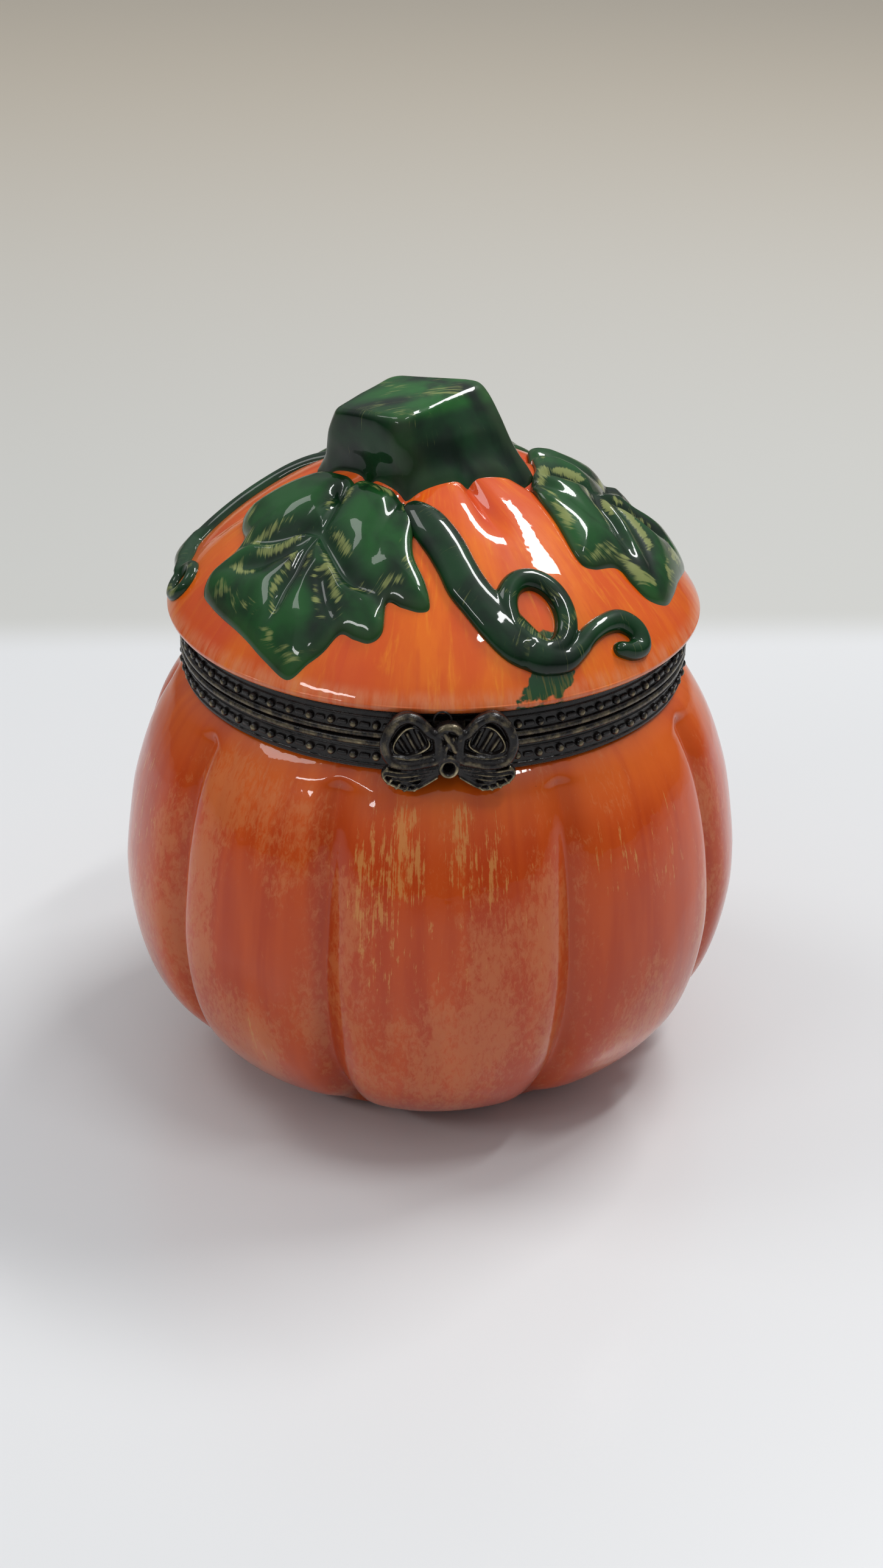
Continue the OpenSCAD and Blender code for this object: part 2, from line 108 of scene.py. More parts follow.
def curve(points, steps, closed=False):
    """Catmull-Rom curve through the points, with this many steps between neighbours."""
    p = np.array(points, float)
    n = len(p)
    at = (lambda i: p[i % n]) if closed else (lambda i: p[min(max(i, 0), n - 1)])
    made = []
    for i in range(n if closed else n - 1):
        a, b, c, d = at(i - 1), at(i), at(i + 1), at(i + 2)
        for t in np.arange(steps) / steps:
            made.append(0.5 * (2 * b + (c - a) * t + (2 * a - 5 * b + 4 * c - d) * t * t
                               + (3 * b - a - 3 * c + d) * t ** 3))
    return np.array(made if closed else made + [p[-1]])


def polar(r, az, z):
    a = np.radians(az)
    return np.stack([r * np.sin(a), -r * np.cos(a), np.broadcast_to(z, np.shape(a)) * 1.0], -1)


def azimuth(x, y):
    return np.degrees(np.arctan2(x, -y))


def turn_plan(q, az):
    """Turns plan coordinates [across, outwards] of a leaf or vine at this azimuth into x and y, or back."""
    a = math.radians(az)
    return np.column_stack([q[:, 0] * math.cos(a) + q[:, 1] * math.sin(a),
                            q[:, 0] * math.sin(a) - q[:, 1] * math.cos(a)])


def outwards(points, middle=(0, 0)):
    """Level unit vectors from an upright axis to the points."""
    out = points - [*middle, 0]
    out[:, 2] = 0
    return out / np.maximum(np.linalg.norm(out, axis=1, keepdims=True), 1e-9)


def lobe(az):
    """Index of the lobe at each azimuth, and the place across it from -1 to 1."""
    turn = (np.asarray(az) - GROOVES[0]) % 360 + GROOVES[0]
    index = np.clip(np.searchsorted(GROOVES, turn, side="right") - 1, 0, len(GROOVES) - 2)
    left, right = GROOVES[index], GROOVES[index + 1]
    return index, 2 * (turn - left) / (right - left) - 1


def ring_azimuths():
    """Azimuths of the columns of both shells, closer together at the grooves."""
    share = (1 - np.cos(np.pi * np.arange(STEPS_PER_LOBE) / STEPS_PER_LOBE)) / 2
    return np.concatenate([left + (right - left) * share for left, right in zip(GROOVES, GROOVES[1:])])


ring_az = ring_azimuths()


def groove_at(az, sharpness):
    """0 at a lobe's crest and 1 in the groove. A higher sharpness makes the groove narrower."""
    across = np.abs(lobe(az)[1])
    return 0.25 * across ** 2 + 0.375 * (1 - np.cos(np.pi * across ** sharpness))


def base_groove_depth(z):
    return BASE_GROOVE * np.interp(z / SHOULDER_H, *np.array(GROOVE_FADE).T)


def dome(r):
    return DOME_Z + DOME_H * (1 - np.minimum(r / LID_R, 1) ** 1.78) ** 0.84


def lid_top(points, fill=0.0):
    """Height of the lid's surface at each point. Grooves are filled up to this share of their depth."""
    x, y = points[:, 0], points[:, 1]
    r, az = np.hypot(x, y), azimuth(x, y)
    depth = LID_GROOVE * np.minimum(1, r / 6) * (1 - np.minimum(r / (LID_R - 0.4), 1) ** 1.4)
    # one groove runs out soon after the stem
    depth = depth * (1 - 0.8 * np.exp(-((az - SHORT_GROOVE) / 14) ** 2) * ramp(r, 11, 15))
    return dome(r) - depth * np.maximum(groove_at(az, LID_SHARPNESS) - fill, 0)


def wobble(points, size, amount, seed=0.0):
    """Slow unevenness, as on hand-finished pieces: one number for each point."""
    shift = Vector((seed, seed * 1.7, seed * 0.3))
    return np.array([noise.noise(Vector(p) / size + shift) for p in points]) * amount


def piece(name, points, faces, body, slot, materials, replaces=(), face_material=None):
    """A smooth-shaded mesh object that rides on a body. Points are in millimetres."""
    mesh = bpy.data.meshes.new(name)
    mesh.from_pydata((np.asarray(points) * MM).tolist(), [], faces)
    for material in materials:
        mesh.materials.append(material)
    mesh.shade_smooth()
    if face_material is not None:
        mesh.polygons.foreach_set("material_index", np.asarray(face_material, np.int32))
    obj = bpy.data.objects.new(name, mesh)
    bpy.context.scene.collection.objects.link(obj)
    if body:
        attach(obj, body)
    if replaces:
        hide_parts(*replaces)
    return obj


def store(obj, **fields):
    """Keeps numbers or vectors, one for each vertex, for the materials to read."""
    for name, values in fields.items():
        values = np.asarray(values, np.float32)
        kind, field = ("FLOAT", "value") if values.ndim == 1 else ("FLOAT_VECTOR", "vector")
        attribute = obj.data.attributes.new(name, kind, "POINT")
        attribute.data.foreach_set(field, values.ravel())


def grid_faces(rows, columns):
    """Quads between rows of points, with the last column joined to the first."""
    faces = []
    for j in range(rows - 1):
        for i in range(columns):
            k = (i + 1) % columns
            faces.append((j * columns + i, j * columns + k, (j + 1) * columns + k, (j + 1) * columns + i))
    return faces


def capped(rings):
    """Points and faces of rings joined by quads, with a fan over each end."""
    rings = np.asarray(rings)
    rows, columns = rings.shape[:2]
    points = np.concatenate([rings.reshape(-1, 3), [rings[0].mean(0), rings[-1].mean(0)]])
    faces = grid_faces(rows, columns)
    last = (rows - 1) * columns
    for i in range(columns):
        k = (i + 1) % columns
        faces.append((k, i, rows * columns))
        faces.append((last + i, last + k, rows * columns + 1))
    return points, faces


def joined(parts):
    """One point list and face list from several (points, faces)."""
    points, faces, start = [], [], 0
    for part_points, part_faces in parts:
        points.append(np.asarray(part_points, float))
        faces += [tuple(i + start for i in face) for face in part_faces]
        start += len(part_points)
    return np.concatenate(points), faces


def tube(line, half_width, half_height, up=(0, 0, 1), sides=16):
    """Round-ended tube along a line of points. Its section is an ellipse across and along up."""
    n = len(line)
    half_width, half_height = np.broadcast_to(half_width, n), np.broadcast_to(half_height, n)
    along = np.gradient(line, axis=0)
    along /= np.linalg.norm(along, axis=1, keepdims=True)
    side = np.cross(along, np.broadcast_to(up, (n, 3)))
    side /= np.linalg.norm(side, axis=1, keepdims=True)
    top = np.cross(side, along)
    turn = np.linspace(0, 2 * math.pi, sides, endpoint=False)
    ring = np.cos(turn)[:, None, None] * (side * half_width[:, None])
    ring = ring + np.sin(turn)[:, None, None] * (top * half_height[:, None])
    rings = [line[i] + ring[:, i] for i in range(n)]
    for end, sign in ((0, -1), (n - 1, 1)):
        for step in (0.5, 0.85, 0.98):
            shrunk = math.sqrt(1 - step * step)
            cap = line[end] + sign * along[end] * half_width[end] * step + ring[:, end] * shrunk
            rings = [cap, *rings] if sign < 0 else [*rings, cap]
    return capped(rings)


def plate(outline, z0, z1):
    """Flat plate with this outline, between two heights."""
    outline = np.asarray(outline, float)
    level = lambda z: np.column_stack([outline, np.full(len(outline), z)])
    return capped([level(z0), level(z1)])


def read(items, field, width=3, kind=np.float32):
    """One row of numbers for each item of a mesh."""
    found = np.empty(len(items) * width, kind)
    items.foreach_get(field, found)
    return found.reshape(-1, width)


def mesh_points(mesh):
    return read(mesh.vertices, "co") / MM


def cast(name, points, faces, voxel, smoothing, **where):
    """One casting from overlapping closed solids: remeshed, with its inner corners softened."""
    obj = piece(name, points, faces, None, None, [])
    remesh = obj.modifiers.new("merge", "REMESH")
    remesh.mode = "VOXEL"
    remesh.voxel_size = voxel * MM
    soften = obj.modifiers.new("soften", "SMOOTH")
    soften.factor, soften.iterations = 0.5, smoothing
    graph = bpy.context.evaluated_depsgraph_get()
    mesh = bpy.data.meshes.new_from_object(obj.evaluated_get(graph), depsgraph=graph)
    points = mesh_points(mesh)
    quads = [tuple(polygon.vertices) for polygon in mesh.polygons]
    bpy.data.objects.remove(obj)
    bpy.data.meshes.remove(mesh)
    return piece(name, points, quads, **where)


def raised(obj, passes):
    """How far each vertex stands out of its surroundings, in millimetres; below 0 in hollows."""
    points = mesh_points(obj.data)
    a, b = read(obj.data.edges, "vertices", 2, np.int32).T
    count = np.bincount(np.concatenate([a, b]), minlength=len(points))[:, None]
    smooth = points.copy()
    for _ in range(passes):
        total = np.zeros_like(smooth)
        np.add.at(total, a, smooth[b])
        np.add.at(total, b, smooth[a])
        smooth = 0.4 * smooth + 0.6 * total / np.maximum(count, 1)
    return ((points - smooth) * read(obj.data.vertices, "normal")).sum(1)


def near_line(points, line):
    """Distance of each point in plan to a line, and the share of the line passed there."""
    line = np.asarray(line, float)
    lengths = np.linalg.norm(np.diff(line, axis=0), axis=1)
    passed = np.concatenate([[0], np.cumsum(lengths)]) / lengths.sum()
    best, share = np.full(len(points), np.inf), np.zeros(len(points))
    for i in range(len(line) - 1):
        step = line[i + 1] - line[i]
        t = np.clip(((points - line[i]) @ step) / (step @ step), 0, 1)
        distance = np.linalg.norm(points - line[i] - t[:, None] * step, axis=1)
        closer = distance < best
        best = np.where(closer, distance, best)
        share = np.where(closer, passed[i] + t * (passed[i + 1] - passed[i]), share)
    return best, share


# ---- Materials ----

class Nodes:
    """Short calls that build the node tree of a material or of the world."""

    def __init__(self, owner, shader, values):
        owner.use_nodes = True
        self.owner, self.tree = owner, owner.node_tree
        self.shader = self.tree.nodes[shader]
        self.set(self.shader, values)

    def put(self, socket, value):
        """Links another node's output into a socket, or sets the socket to a constant."""
        if isinstance(value, bpy.types.NodeSocket):
            self.tree.links.new(value, socket)
        else:
            socket.default_value = (*value, 1) if socket.type == "RGBA" else value

    def set(self, node, values):
        for key, value in values.items():
            self.put(node.inputs[key], value)

    def add(self, kind, values=None, **settings):
        node = self.tree.nodes.new("ShaderNode" + kind)
        for key, value in settings.items():
            setattr(node, key, value)
        self.set(node, values or {})
        return node

    def value(self, name):
        return self.add("Attribute", attribute_name=name).outputs["Fac"]

    def noise(self, source, scale, detail=3, roughness=0.5, distortion=0.0):
        vector = self.add("Mapping", {"Vector": source, "Scale": scale}).outputs["Vector"]
        return self.add("TexNoise", {"Vector": vector, "Scale": 1.0, "Detail": detail,
                                     "Roughness": roughness, "Distortion": distortion}).outputs["Fac"]

    def strands(self, across, along, **settings):
        """Noise drawn out along the piece's brush strokes."""
        source = self.add("Attribute", attribute_name="strand").outputs["Vector"]
        return self.noise(source, (across, along, 1), **settings)

    def spots(self, scale, **settings):
        """Even noise in the piece's own space, with scale spots to the millimetre."""
        return self.noise(self.add("TexCoord").outputs["Object"], (scale / MM,) * 3, **settings)

    def math(self, operation, a, b, clamp=False):
        node = self.add("Math", operation=operation, use_clamp=clamp)
        for socket, value in zip(node.inputs, (a, b)):
            self.put(socket, value)
        return node.outputs[0]

    def plus(self, a, b, share, clamp=False):
        """a and this share of b."""
        return self.math("ADD", a, self.math("MULTIPLY", b, share), clamp)

    def step(self, value, low, high, top=1.0):
        """Smooth rise from 0 to top as value goes from low to high."""
        return self.add("MapRange", {"Value": value, "From Min": low, "From Max": high, "To Max": top},
                        interpolation_type="SMOOTHSTEP").outputs["Result"]

    def mix(self, factor, a, b):
        node = self.add("Mix", data_type="RGBA")
        for place, value in ((0, factor), (6, a), (7, b)):
            self.put(node.inputs[place], value)
        return node.outputs[2]

    def paint(self, share, color):
        """Lays a colour over what is painted so far."""
        self.color = self.mix(share, self.color, color)

    def bump(self, height, distance=0.04):
        node = self.add("Bump", {"Height": height, "Distance": distance * MM, "Strength": 1.0})
        self.set(self.shader, {"Normal": node.outputs["Normal"]})
        if self.shader.inputs["Coat Weight"].default_value:
            self.set(self.shader, {"Coat Normal": node.outputs["Normal"]})

    def done(self):
        self.set(self.shader, {"Base Color": self.color})
        return self.owner


def surface(name, values):
    return Nodes(bpy.data.materials.new(name), "Principled BSDF", values)


def glaze(name, coat=0.75):
    return surface(name, {"Roughness": 0.35, "IOR": 1.5, "Specular IOR Level": 0.06,
                          "Coat Weight": coat, "Coat Roughness": 0.035})


def base_glaze_material():
    """Red-orange glaze: darker bands, painted shade in the grooves, pale sponged flecks low on the lobes that
    are partly a painted reflection of the table, a painted highlight along the lobes' edges, dry-brushed
    ochre strokes.
    """
    n = glaze("base_glaze")
    bands = n.strands(0.30, 0.035, distortion=0.4)
    n.color = n.mix(n.step(bands, 0.35, 0.68), (0.46, 0.047, 0.004), (0.56, 0.074, 0.007))
    bright = n.math("MULTIPLY", n.value("shoulder"), n.step(bands, 0.2, 0.7, 0.75))
    n.paint(n.plus(bright, n.value("shoulder"), 0.35, clamp=True), (0.62, 0.105, 0.006))
    # darker red in the grooves: painted shade
    n.paint(n.math("MULTIPLY", n.value("crease"), 0.35), (0.38, 0.042, 0.006))
    # sponged bloom, partly a painted reflection of the pale table: fine flecks drawn out a little downwards,
    # and a painted highlight along the lobes' edges
    flecks = n.strands(2.1, 0.95, detail=5, roughness=0.72, distortion=0.5)
    clouds = n.strands(0.16, 0.10)
    cover = n.math("ADD", n.value("bloom"), n.step(clouds, 0.40, 0.68, 0.45))
    n.paint(n.step(n.plus(flecks, cover, 0.42), 0.64, 0.90, 0.50), (0.60, 0.195, 0.062))
    # dry-brushed strokes: long bristle marks where the brush touched
    bristles = n.strands(3.6, 0.17, detail=6, roughness=0.7, distortion=0.45)
    breaks = n.strands(1.3, 0.6, detail=5, roughness=0.7)
    marks = n.plus(bristles, n.math("SUBTRACT", breaks, 0.5), 0.75)
    marks = n.plus(marks, n.value("ochre"), 0.34)
    n.paint(n.step(marks, 0.76, 0.88, 0.75), (0.60, 0.245, 0.065))
    n.paint(n.step(n.strands(1.3, 1.3, detail=2), 0.80, 0.83, 0.7), (0.10, 0.02, 0.01))
    n.bump(n.spots(0.5, detail=2))
    return n.done()


def lid_glaze_material():
    """Brighter orange with radial brushed yellow streaks, redder in the grooves as painted shade, a painted
    highlight along the rim, and a painted vine tail.
    """
    n = glaze("lid_glaze")
    bands = n.strands(0.30, 0.09, distortion=0.6)
    n.color = n.mix(n.step(bands, 0.3, 0.7), (0.60, 0.078, 0.003), (0.70, 0.135, 0.003))
    bristles = n.strands(1.7, 0.22, detail=5, roughness=0.62, distortion=0.5)
    n.paint(n.step(bristles, 0.50, 0.74, 0.55), (0.76, 0.235, 0.008))
    n.paint(n.step(bristles, 0.46, 0.30, 0.35), (0.56, 0.066, 0.006))
    red = n.strands(0.22, 0.12, detail=2)
    # redder, darker glaze: painted shade in the grooves, plus ruddy patches near the stem and on the left
    cover = n.math("ADD", n.math("MULTIPLY", n.value("crease"), 0.75), n.value("ruddy"), clamp=True)
    n.paint(n.math("MULTIPLY", cover, n.step(red, 0.25, 0.65)), (0.56, 0.058, 0.008))
    # pale streaks on the lid's lower rim edge: a painted highlight
    pale = n.step(n.strands(1.6, 0.35, detail=4, roughness=0.7), 0.25, 0.7, 0.7)
    n.paint(n.math("MULTIPLY", n.value("rim"), pale), (0.66, 0.225, 0.10))
    paint = n.plus(n.value("tail"), n.spots(1.1), 0.45)
    hatch = n.step(n.strands(5.0, 0.5), 0.52, 0.62, 0.5)
    green = n.mix(hatch, (0.008, 0.050, 0.014), (0.16, 0.13, 0.025))
    n.paint(n.step(paint, 0.22, 0.30), green)
    n.bump(n.spots(0.45, detail=2))
    return n.done()


def green_glaze_material():
    """Deep green glaze with lighter pools, painted light on the stem's top and the leaves' puffs, and pale
    strokes dry-brushed across the raised parts.
    """
    n = glaze("green_glaze", coat=0.6)
    pools = n.spots(0.20, distortion=0.4)
    n.color = n.mix(n.step(pools, 0.32, 0.68), (0.0012, 0.009, 0.0035), (0.004, 0.036, 0.009))
    # painted light: lighter green on the stem's top and on the leaves' puffs, darker in the ribs as painted
    # shade
    painted_light = n.math("MULTIPLY", n.value("light"), n.step(pools, 0.25, 0.65))
    n.paint(painted_light, (0.010, 0.095, 0.013))
    hairs = n.strands(3.6, 0.25, detail=6, roughness=0.7, distortion=0.3)
    patches = n.spots(0.33, detail=2)
    cover = n.math("MULTIPLY", n.value("brushed"), n.step(patches, 0.34, 0.62))
    n.paint(n.step(n.plus(hairs, cover, 0.46), 0.72, 0.92, 0.75), (0.250, 0.280, 0.090))
    n.paint(n.math("MULTIPLY", n.value("thin"), 0.45), (0.060, 0.090, 0.040))
    n.bump(n.spots(0.45, detail=1))
    return n.done()


def inner_glaze_material():
    """Plain white glaze inside and on the foot, with the odd iron speck."""
    n = glaze("white_glaze")
    n.color = n.mix(n.step(n.spots(0.12), 0.3, 0.7), (0.72, 0.70, 0.66), (0.80, 0.78, 0.74))
    n.paint(n.step(n.spots(0.9, detail=2), 0.79, 0.81, 0.6), (0.20, 0.12, 0.07))
    n.bump(n.spots(0.4, detail=2))
    return n.done()


def brass_material(name, read_wear):
    """Blackened brass: glossy dark patina, rubbed through to olive-gold metal on what stands out."""
    n = surface(name, {"IOR": 1.5, "Specular IOR Level": 0.32})
    grime = n.spots(0.9, detail=5, roughness=0.65)
    n.color = n.mix(n.step(grime, 0.35, 0.7), (0.004, 0.003, 0.003), (0.016, 0.012, 0.011))
    rubbed = n.plus(n.value("worn") if read_wear else 0.15, n.math("SUBTRACT", grime, 0.5), 1.3)
    metal = n.step(rubbed, 0.22, 0.75, 0.9)
    n.paint(metal, (0.23, 0.19, 0.115))
    n.paint(n.step(rubbed, 0.62, 1.05, 0.9), (0.56, 0.48, 0.31))
    roughness = n.add("MapRange", {"Value": grime, "To Min": 0.16, "To Max": 0.38}).outputs["Result"]
    n.set(n.shader, {"Metallic": metal, "Roughness": roughness})
    n.bump(n.spots(2.2, detail=4))
    return n.done()


def cement_material():
    n = surface("cement", {"Roughness": 0.85})
    grains = n.spots(2.5, detail=5, roughness=0.7)
    n.color = n.mix(n.step(grains, 0.3, 0.7), (0.46, 0.43, 0.37), (0.62, 0.59, 0.52))
    n.bump(grains, 0.05)
    return n.done()


base_glaze = base_glaze_material()
lid_glaze = lid_glaze_material()
green_glaze = green_glaze_material()
white_glaze = inner_glaze_material()
worn_brass = brass_material("worn_brass", True)
dark_brass = brass_material("dark_brass", False)


# ---- Porcelain base ----

# The outside and the hollow, as shares of BODY_R and SHOULDER_H
BASE_OUTLINE = [
    [0.62, 0.035], [0.80, 0.13], [0.94, 0.27], [1.0, 0.47], [0.98, 0.67], [0.92, 0.84], [0.84, 0.95]]
BASE_INSIDE = [
    [0.86, 0.84], [0.95, 0.66], [0.955, 0.47], [0.88, 0.27], [0.70, 0.145], [0.45, 0.095]]
# Dry-brushed places: azimuth, height, half width in degrees, half height, strength
OCHRE_STROKES = [
    [-14, 34, 5, 7.5, 0.85], [-8, 36.5, 5, 6, 0.9], [-12, 28, 5, 7, 0.6], [3, 37.5, 5, 5, 0.85],
    [8, 36, 5, 5, 0.65], [0, 29, 13, 9, 0.42], [15, 30, 6, 9, 0.4], [33, 34, 6, 5, 0.6],
    [46, 33, 7, 6, 0.48], [57, 27, 5, 9, 0.4], [-33, 33, 6, 7, 0.25], [-52, 28, 6, 8, 0.38],
    [-38, 13, 5, 5, 0.6], [110, 32, 12, 8, 0.6], [130, 26, 8, 8, 0.5], [165, 33, 12, 8, 0.7],
    [205, 29, 10, 9, 0.55], [245, 33, 12, 7, 0.7], [285, 31, 12, 8, 0.6]]
# Sponged bloom, partly a painted reflection of the pale table low on the lobes, given the same way
BLOOM_AND_SHEEN_PATCHES = [
    [-2, 12, 20, 13, 0.5], [9, 20, 12, 13, 0.45], [-17, 20, 6, 14, 0.5], [19, 22, 6, 13, 0.5],
    [0, 19, 18, 9, 0.3], [-41, 12, 11, 9, 0.75], [-49, 24, 6, 14, 0.55], [-63, 20, 9, 16, 0.55],
    [-30, 36, 9, 6, 0.5], [-45, 39, 14, 4, 0.65], [40, 14, 14, 10, 0.42], [61, 20, 7, 14, 0.5],
    [75, 26, 10, 12, 0.35], [120, 14, 20, 10, 0.5], [160, 12, 20, 10, 0.55], [200, 14, 20, 10, 0.5],
    [245, 13, 20, 10, 0.6], [285, 16, 14, 12, 0.6]]


def patches(az, z, places):
    """Soft spots on the base, each an ellipse in azimuth and height; the strongest one counts."""
    total = np.zeros(len(az))
    for az0, z0, half_az, half_z, strength in places:
        turn = (az - az0 + 180) % 360 - 180
        reach = np.sqrt((turn / half_az) ** 2 + ((z - z0) / half_z) ** 2)
        total = np.maximum(total, strength * (1 - ramp(reach, 0.55, 1.25)))
    return total


def base_profile():
    """Radius, height and share of the lobes' depth from the middle of the foot up the outside and
    down the hollow. The painted side is the second of the three stretches."""
    outline = np.array(BASE_OUTLINE) * [BODY_R, SHOULDER_H]
    hollow = curve(np.array(BASE_INSIDE) * [BODY_R, SHOULDER_H] - [WALL, 0], 8)
    collar_top = box_mm("base_shell")[1][2]
    foot = [(1.0, FOOT_RECESS), (FOOT_R - 4.2, FOOT_RECESS), (FOOT_R - 3.7, 0.5), (FOOT_R - 3.3, 0.08),
            (FOOT_R - 2.8, 0.0), (FOOT_R - 1.2, 0.0)]
    side = curve([(FOOT_R - 0.6, 0.0), (FOOT_R + 0.7, 0.28), *outline,
                  (COLLAR_R + 0.55, SHOULDER_H - 0.28)], 13)
    collar = [(COLLAR_R, SHOULDER_H - 0.15), (COLLAR_R, collar_top), (MOUTH_R, collar_top),
              (MOUTH_R, SHOULDER_H - 1.5)]
    z = side[:, 1]
    lobed = ramp(z, 0, 2.5) * (1 - ramp(z, SHOULDER_H - 2.6, SHOULDER_H - 0.6))
    inner_depth = [0] * len(collar) + [0.5] * len(hollow) + [0]
    return [np.column_stack([foot, np.zeros(len(foot))]), np.column_stack([side, lobed]),
            np.column_stack([[*collar, *hollow, (1.0, hollow[-1][1])], inner_depth])]


def base_shell():
    foot, side, inner = base_profile()
    painted = np.repeat([0, 1, 0], [len(foot), len(side), len(inner)])
    profile = np.concatenate([foot, side, inner])
    rings = [polar(r - share * base_groove_depth(z) * groove_at(ring_az, BASE_SHARPNESS), ring_az, z)
             for r, z, share in profile]
    points, faces = capped(rings)
    uneven = wobble(points, 11.0, 0.16) * np.append(np.repeat(profile[:, 2] * painted, len(ring_az)), [0, 0])
    points = points - outwards(points) * np.abs(uneven)[:, None]
    row = np.array([min(face) // len(ring_az) for face in faces])
    white = (row < len(foot) - 1) | (row >= len(foot) + len(side) - 1)
    obj = piece("pumpkin_base", points, faces, "base", "base_glaze", [base_glaze, white_glaze],
                ["base_shell"], white)
    az, z = azimuth(points[:, 0], points[:, 1]), points[:, 2]
    index, across = lobe(az)
    across = np.abs(across)
    # edge: a band along each lobe's edge, below the shoulder, where the bloom mask lays a painted highlight
    edge = ramp(across, 0.62, 0.9) * (1 - ramp(across, 0.93, 1.0))
    store(obj, strand=np.column_stack([az * BODY_R * math.pi / 180, z, index * 9.7]),
          shoulder=ramp(z, 36, 42) * (0.75 + 0.25 * np.cos(across * 2)),
          # crease: mask for the painted shade in the base's grooves
          crease=ramp(across, 0.72, 1.0),
          # bloom: sponged flecks, partly a painted reflection of the table low on the lobes, and a painted
          # highlight along the lobes' edges
          bloom=np.maximum(patches(az, z, BLOOM_AND_SHEEN_PATCHES), 0.42 * edge * (1 - ramp(z, 30, 42))),
          ochre=patches(az, z, OCHRE_STROKES))


# ---- Porcelain lid ----

# Painted tail of the front vine, in the vine's own plan coordinates: across, outwards, half width
PAINTED_TAIL = [[2.4, 24.3, 2.0], [1.4, 25.2, 1.7], [0.4, 25.8, 1.0], [-0.9, 26.2, 0.45], [-2.0, 26.5, 0.2]]


def lid_shell():
    collar_end = box_mm("lid_shell")[0][2]
    top = [polar(r, ring_az, 0.0) for r in LID_R * np.sin(np.pi / 2 * np.linspace(0.02, 1, 84))]
    for ring in top:
        ring[:, 2] = lid_top(ring)
    edge = [(LID_R, DOME_Z - 0.12), (LID_R - 0.07, DOME_Z - 0.34), (LID_R - 0.25, DOME_Z - 0.56),
            (LID_R - 0.55, RIM_Z + 0.06), (LID_R - 0.9, RIM_Z + 0.02), (COLLAR_R, RIM_Z + 0.02),
            (COLLAR_R, collar_end), (MOUTH_R, collar_end)]
    # the hollow's curve springs a little below the lid's widest level
    spring, rise = DOME_Z - 1.2, DOME_H - WALL + 1.2
    hollow = [(MOUTH_R * math.cos(a), spring + rise * math.sin(a))
              for a in np.linspace(0, math.pi / 2 * 0.97, 24)]
    rings = top + [polar(r, ring_az, z) for r, z in edge + hollow]
    points, faces = capped(rings)
    uneven = np.repeat(np.arange(len(rings)) < len(top) - 3, len(ring_az))
    points[:, 2] -= np.abs(wobble(points, 9.0, 0.12, 4.0)) * np.append(uneven, [True, False])
    row = np.array([min(face) // len(ring_az) for face in faces])
    white = row >= len(top) + 4
    obj = piece("pumpkin_lid", points, faces, "lid", "lid_glaze", [lid_glaze, white_glaze],
                ["lid_shell"], white)
    paint_lid(obj, points)


def paint_lid(obj, points):
    x, y, z = points.T
    r, az = np.hypot(x, y), azimuth(x, y)
    index, across = lobe(az)
    turn = (az + 60 + 180) % 360 - 180
    left = (1 - ramp(np.abs(turn), 10, 40)) * ramp(r, 15, 22)
    line = np.array(PAINTED_TAIL)
    distance, share = near_line(points[:, :2], turn_plan(line, VINE_AZ["vine_front"]))
    width = np.interp(share, np.linspace(0, 1, len(line)), line[:, 2])
    store(obj, strand=np.column_stack([az * 0.32, r * 1.25, index * 7.3]),
          # crease: mask for the painted shade in the lid's grooves
          crease=ramp(np.abs(across), 0.6, 1.0) * ramp(r, 3, 9),
          ruddy=np.maximum(0.5 * left, 0.7 * (1 - ramp(r, 12.5, 15))),
          # rim: band for the painted highlight along the lid's lower edge
          rim=ramp(r, LID_R - 1.1, LID_R - 0.2) * (z > RIM_Z),
          tail=np.where(z > RIM_Z - 0.5, np.clip((width - distance) / 1.2, -1, 1) * 0.55, -1))


# ---- Stem ----

# Each level: half across, half front to back, turn, x, y, share of the height, shift of the front corner
STEM_LEVELS = [
    [11.9, 8.8, -15, -1.1, -0.15, -0.04, 0.0], [11.2, 8.4, -14, -1.2, -0.1, 0.07, 0.0],
    [10.0, 7.9, -10, -1.7, 0.0, 0.26, -0.2], [9.1, 7.6, -4, -2.2, 0.1, 0.55, -0.8],
    [8.2, 7.2, 4, -2.6, 0.2, 0.84, -1.5], [7.7, 6.9, 7, -2.8, 0.25, 0.95, -1.6],
    [6.9, 6.3, 9, -3.0, 0.3, 1.0, -1.6]]
STEM_TILT, STEM_X = 0.15, -3.0  # slope of the top, and where it has its middle height
STEM_SIDE = 26  # points on each side


def stem_section():
    """Unit section of the stem: four flat sides with softened corners."""
    corners = polar(1.0, np.arange(0, 361, 90), 0.0)[:, :2]
    step = (np.arange(STEM_SIDE) / STEM_SIDE)[:, None]
    flat = np.concatenate([start + (end - start) * step for start, end in zip(corners, corners[1:])])
    flat /= np.maximum(1, np.linalg.norm(flat, axis=1, keepdims=True) / 0.93)
    for _ in range(3):
        flat = 0.5 * flat + 0.25 * (np.roll(flat, 1, axis=0) + np.roll(flat, -1, axis=0))
    return flat


def stem_sides():
    """Rings up the stem's sides. The front corner leans aside by the last number of each level."""
    section = stem_section()
    rings = []
    for across, deep, turn, x, y, share, shift in curve(STEM_LEVELS, 9):
        a = math.radians(turn)
        q = section * [across, deep]
        lean = shift * np.maximum(0, -section[:, 1])
        p = np.column_stack([x + q[:, 0] * math.cos(a) - q[:, 1] * math.sin(a) + lean,
                             y + q[:, 0] * math.sin(a) + q[:, 1] * math.cos(a)])
        foot = lid_top(p)
        crown = STEM_TOP + STEM_TILT * (p[:, 0] - STEM_X) - 0.55
        rings.append(np.column_stack([p, foot + (crown - foot) * share]))
    return rings


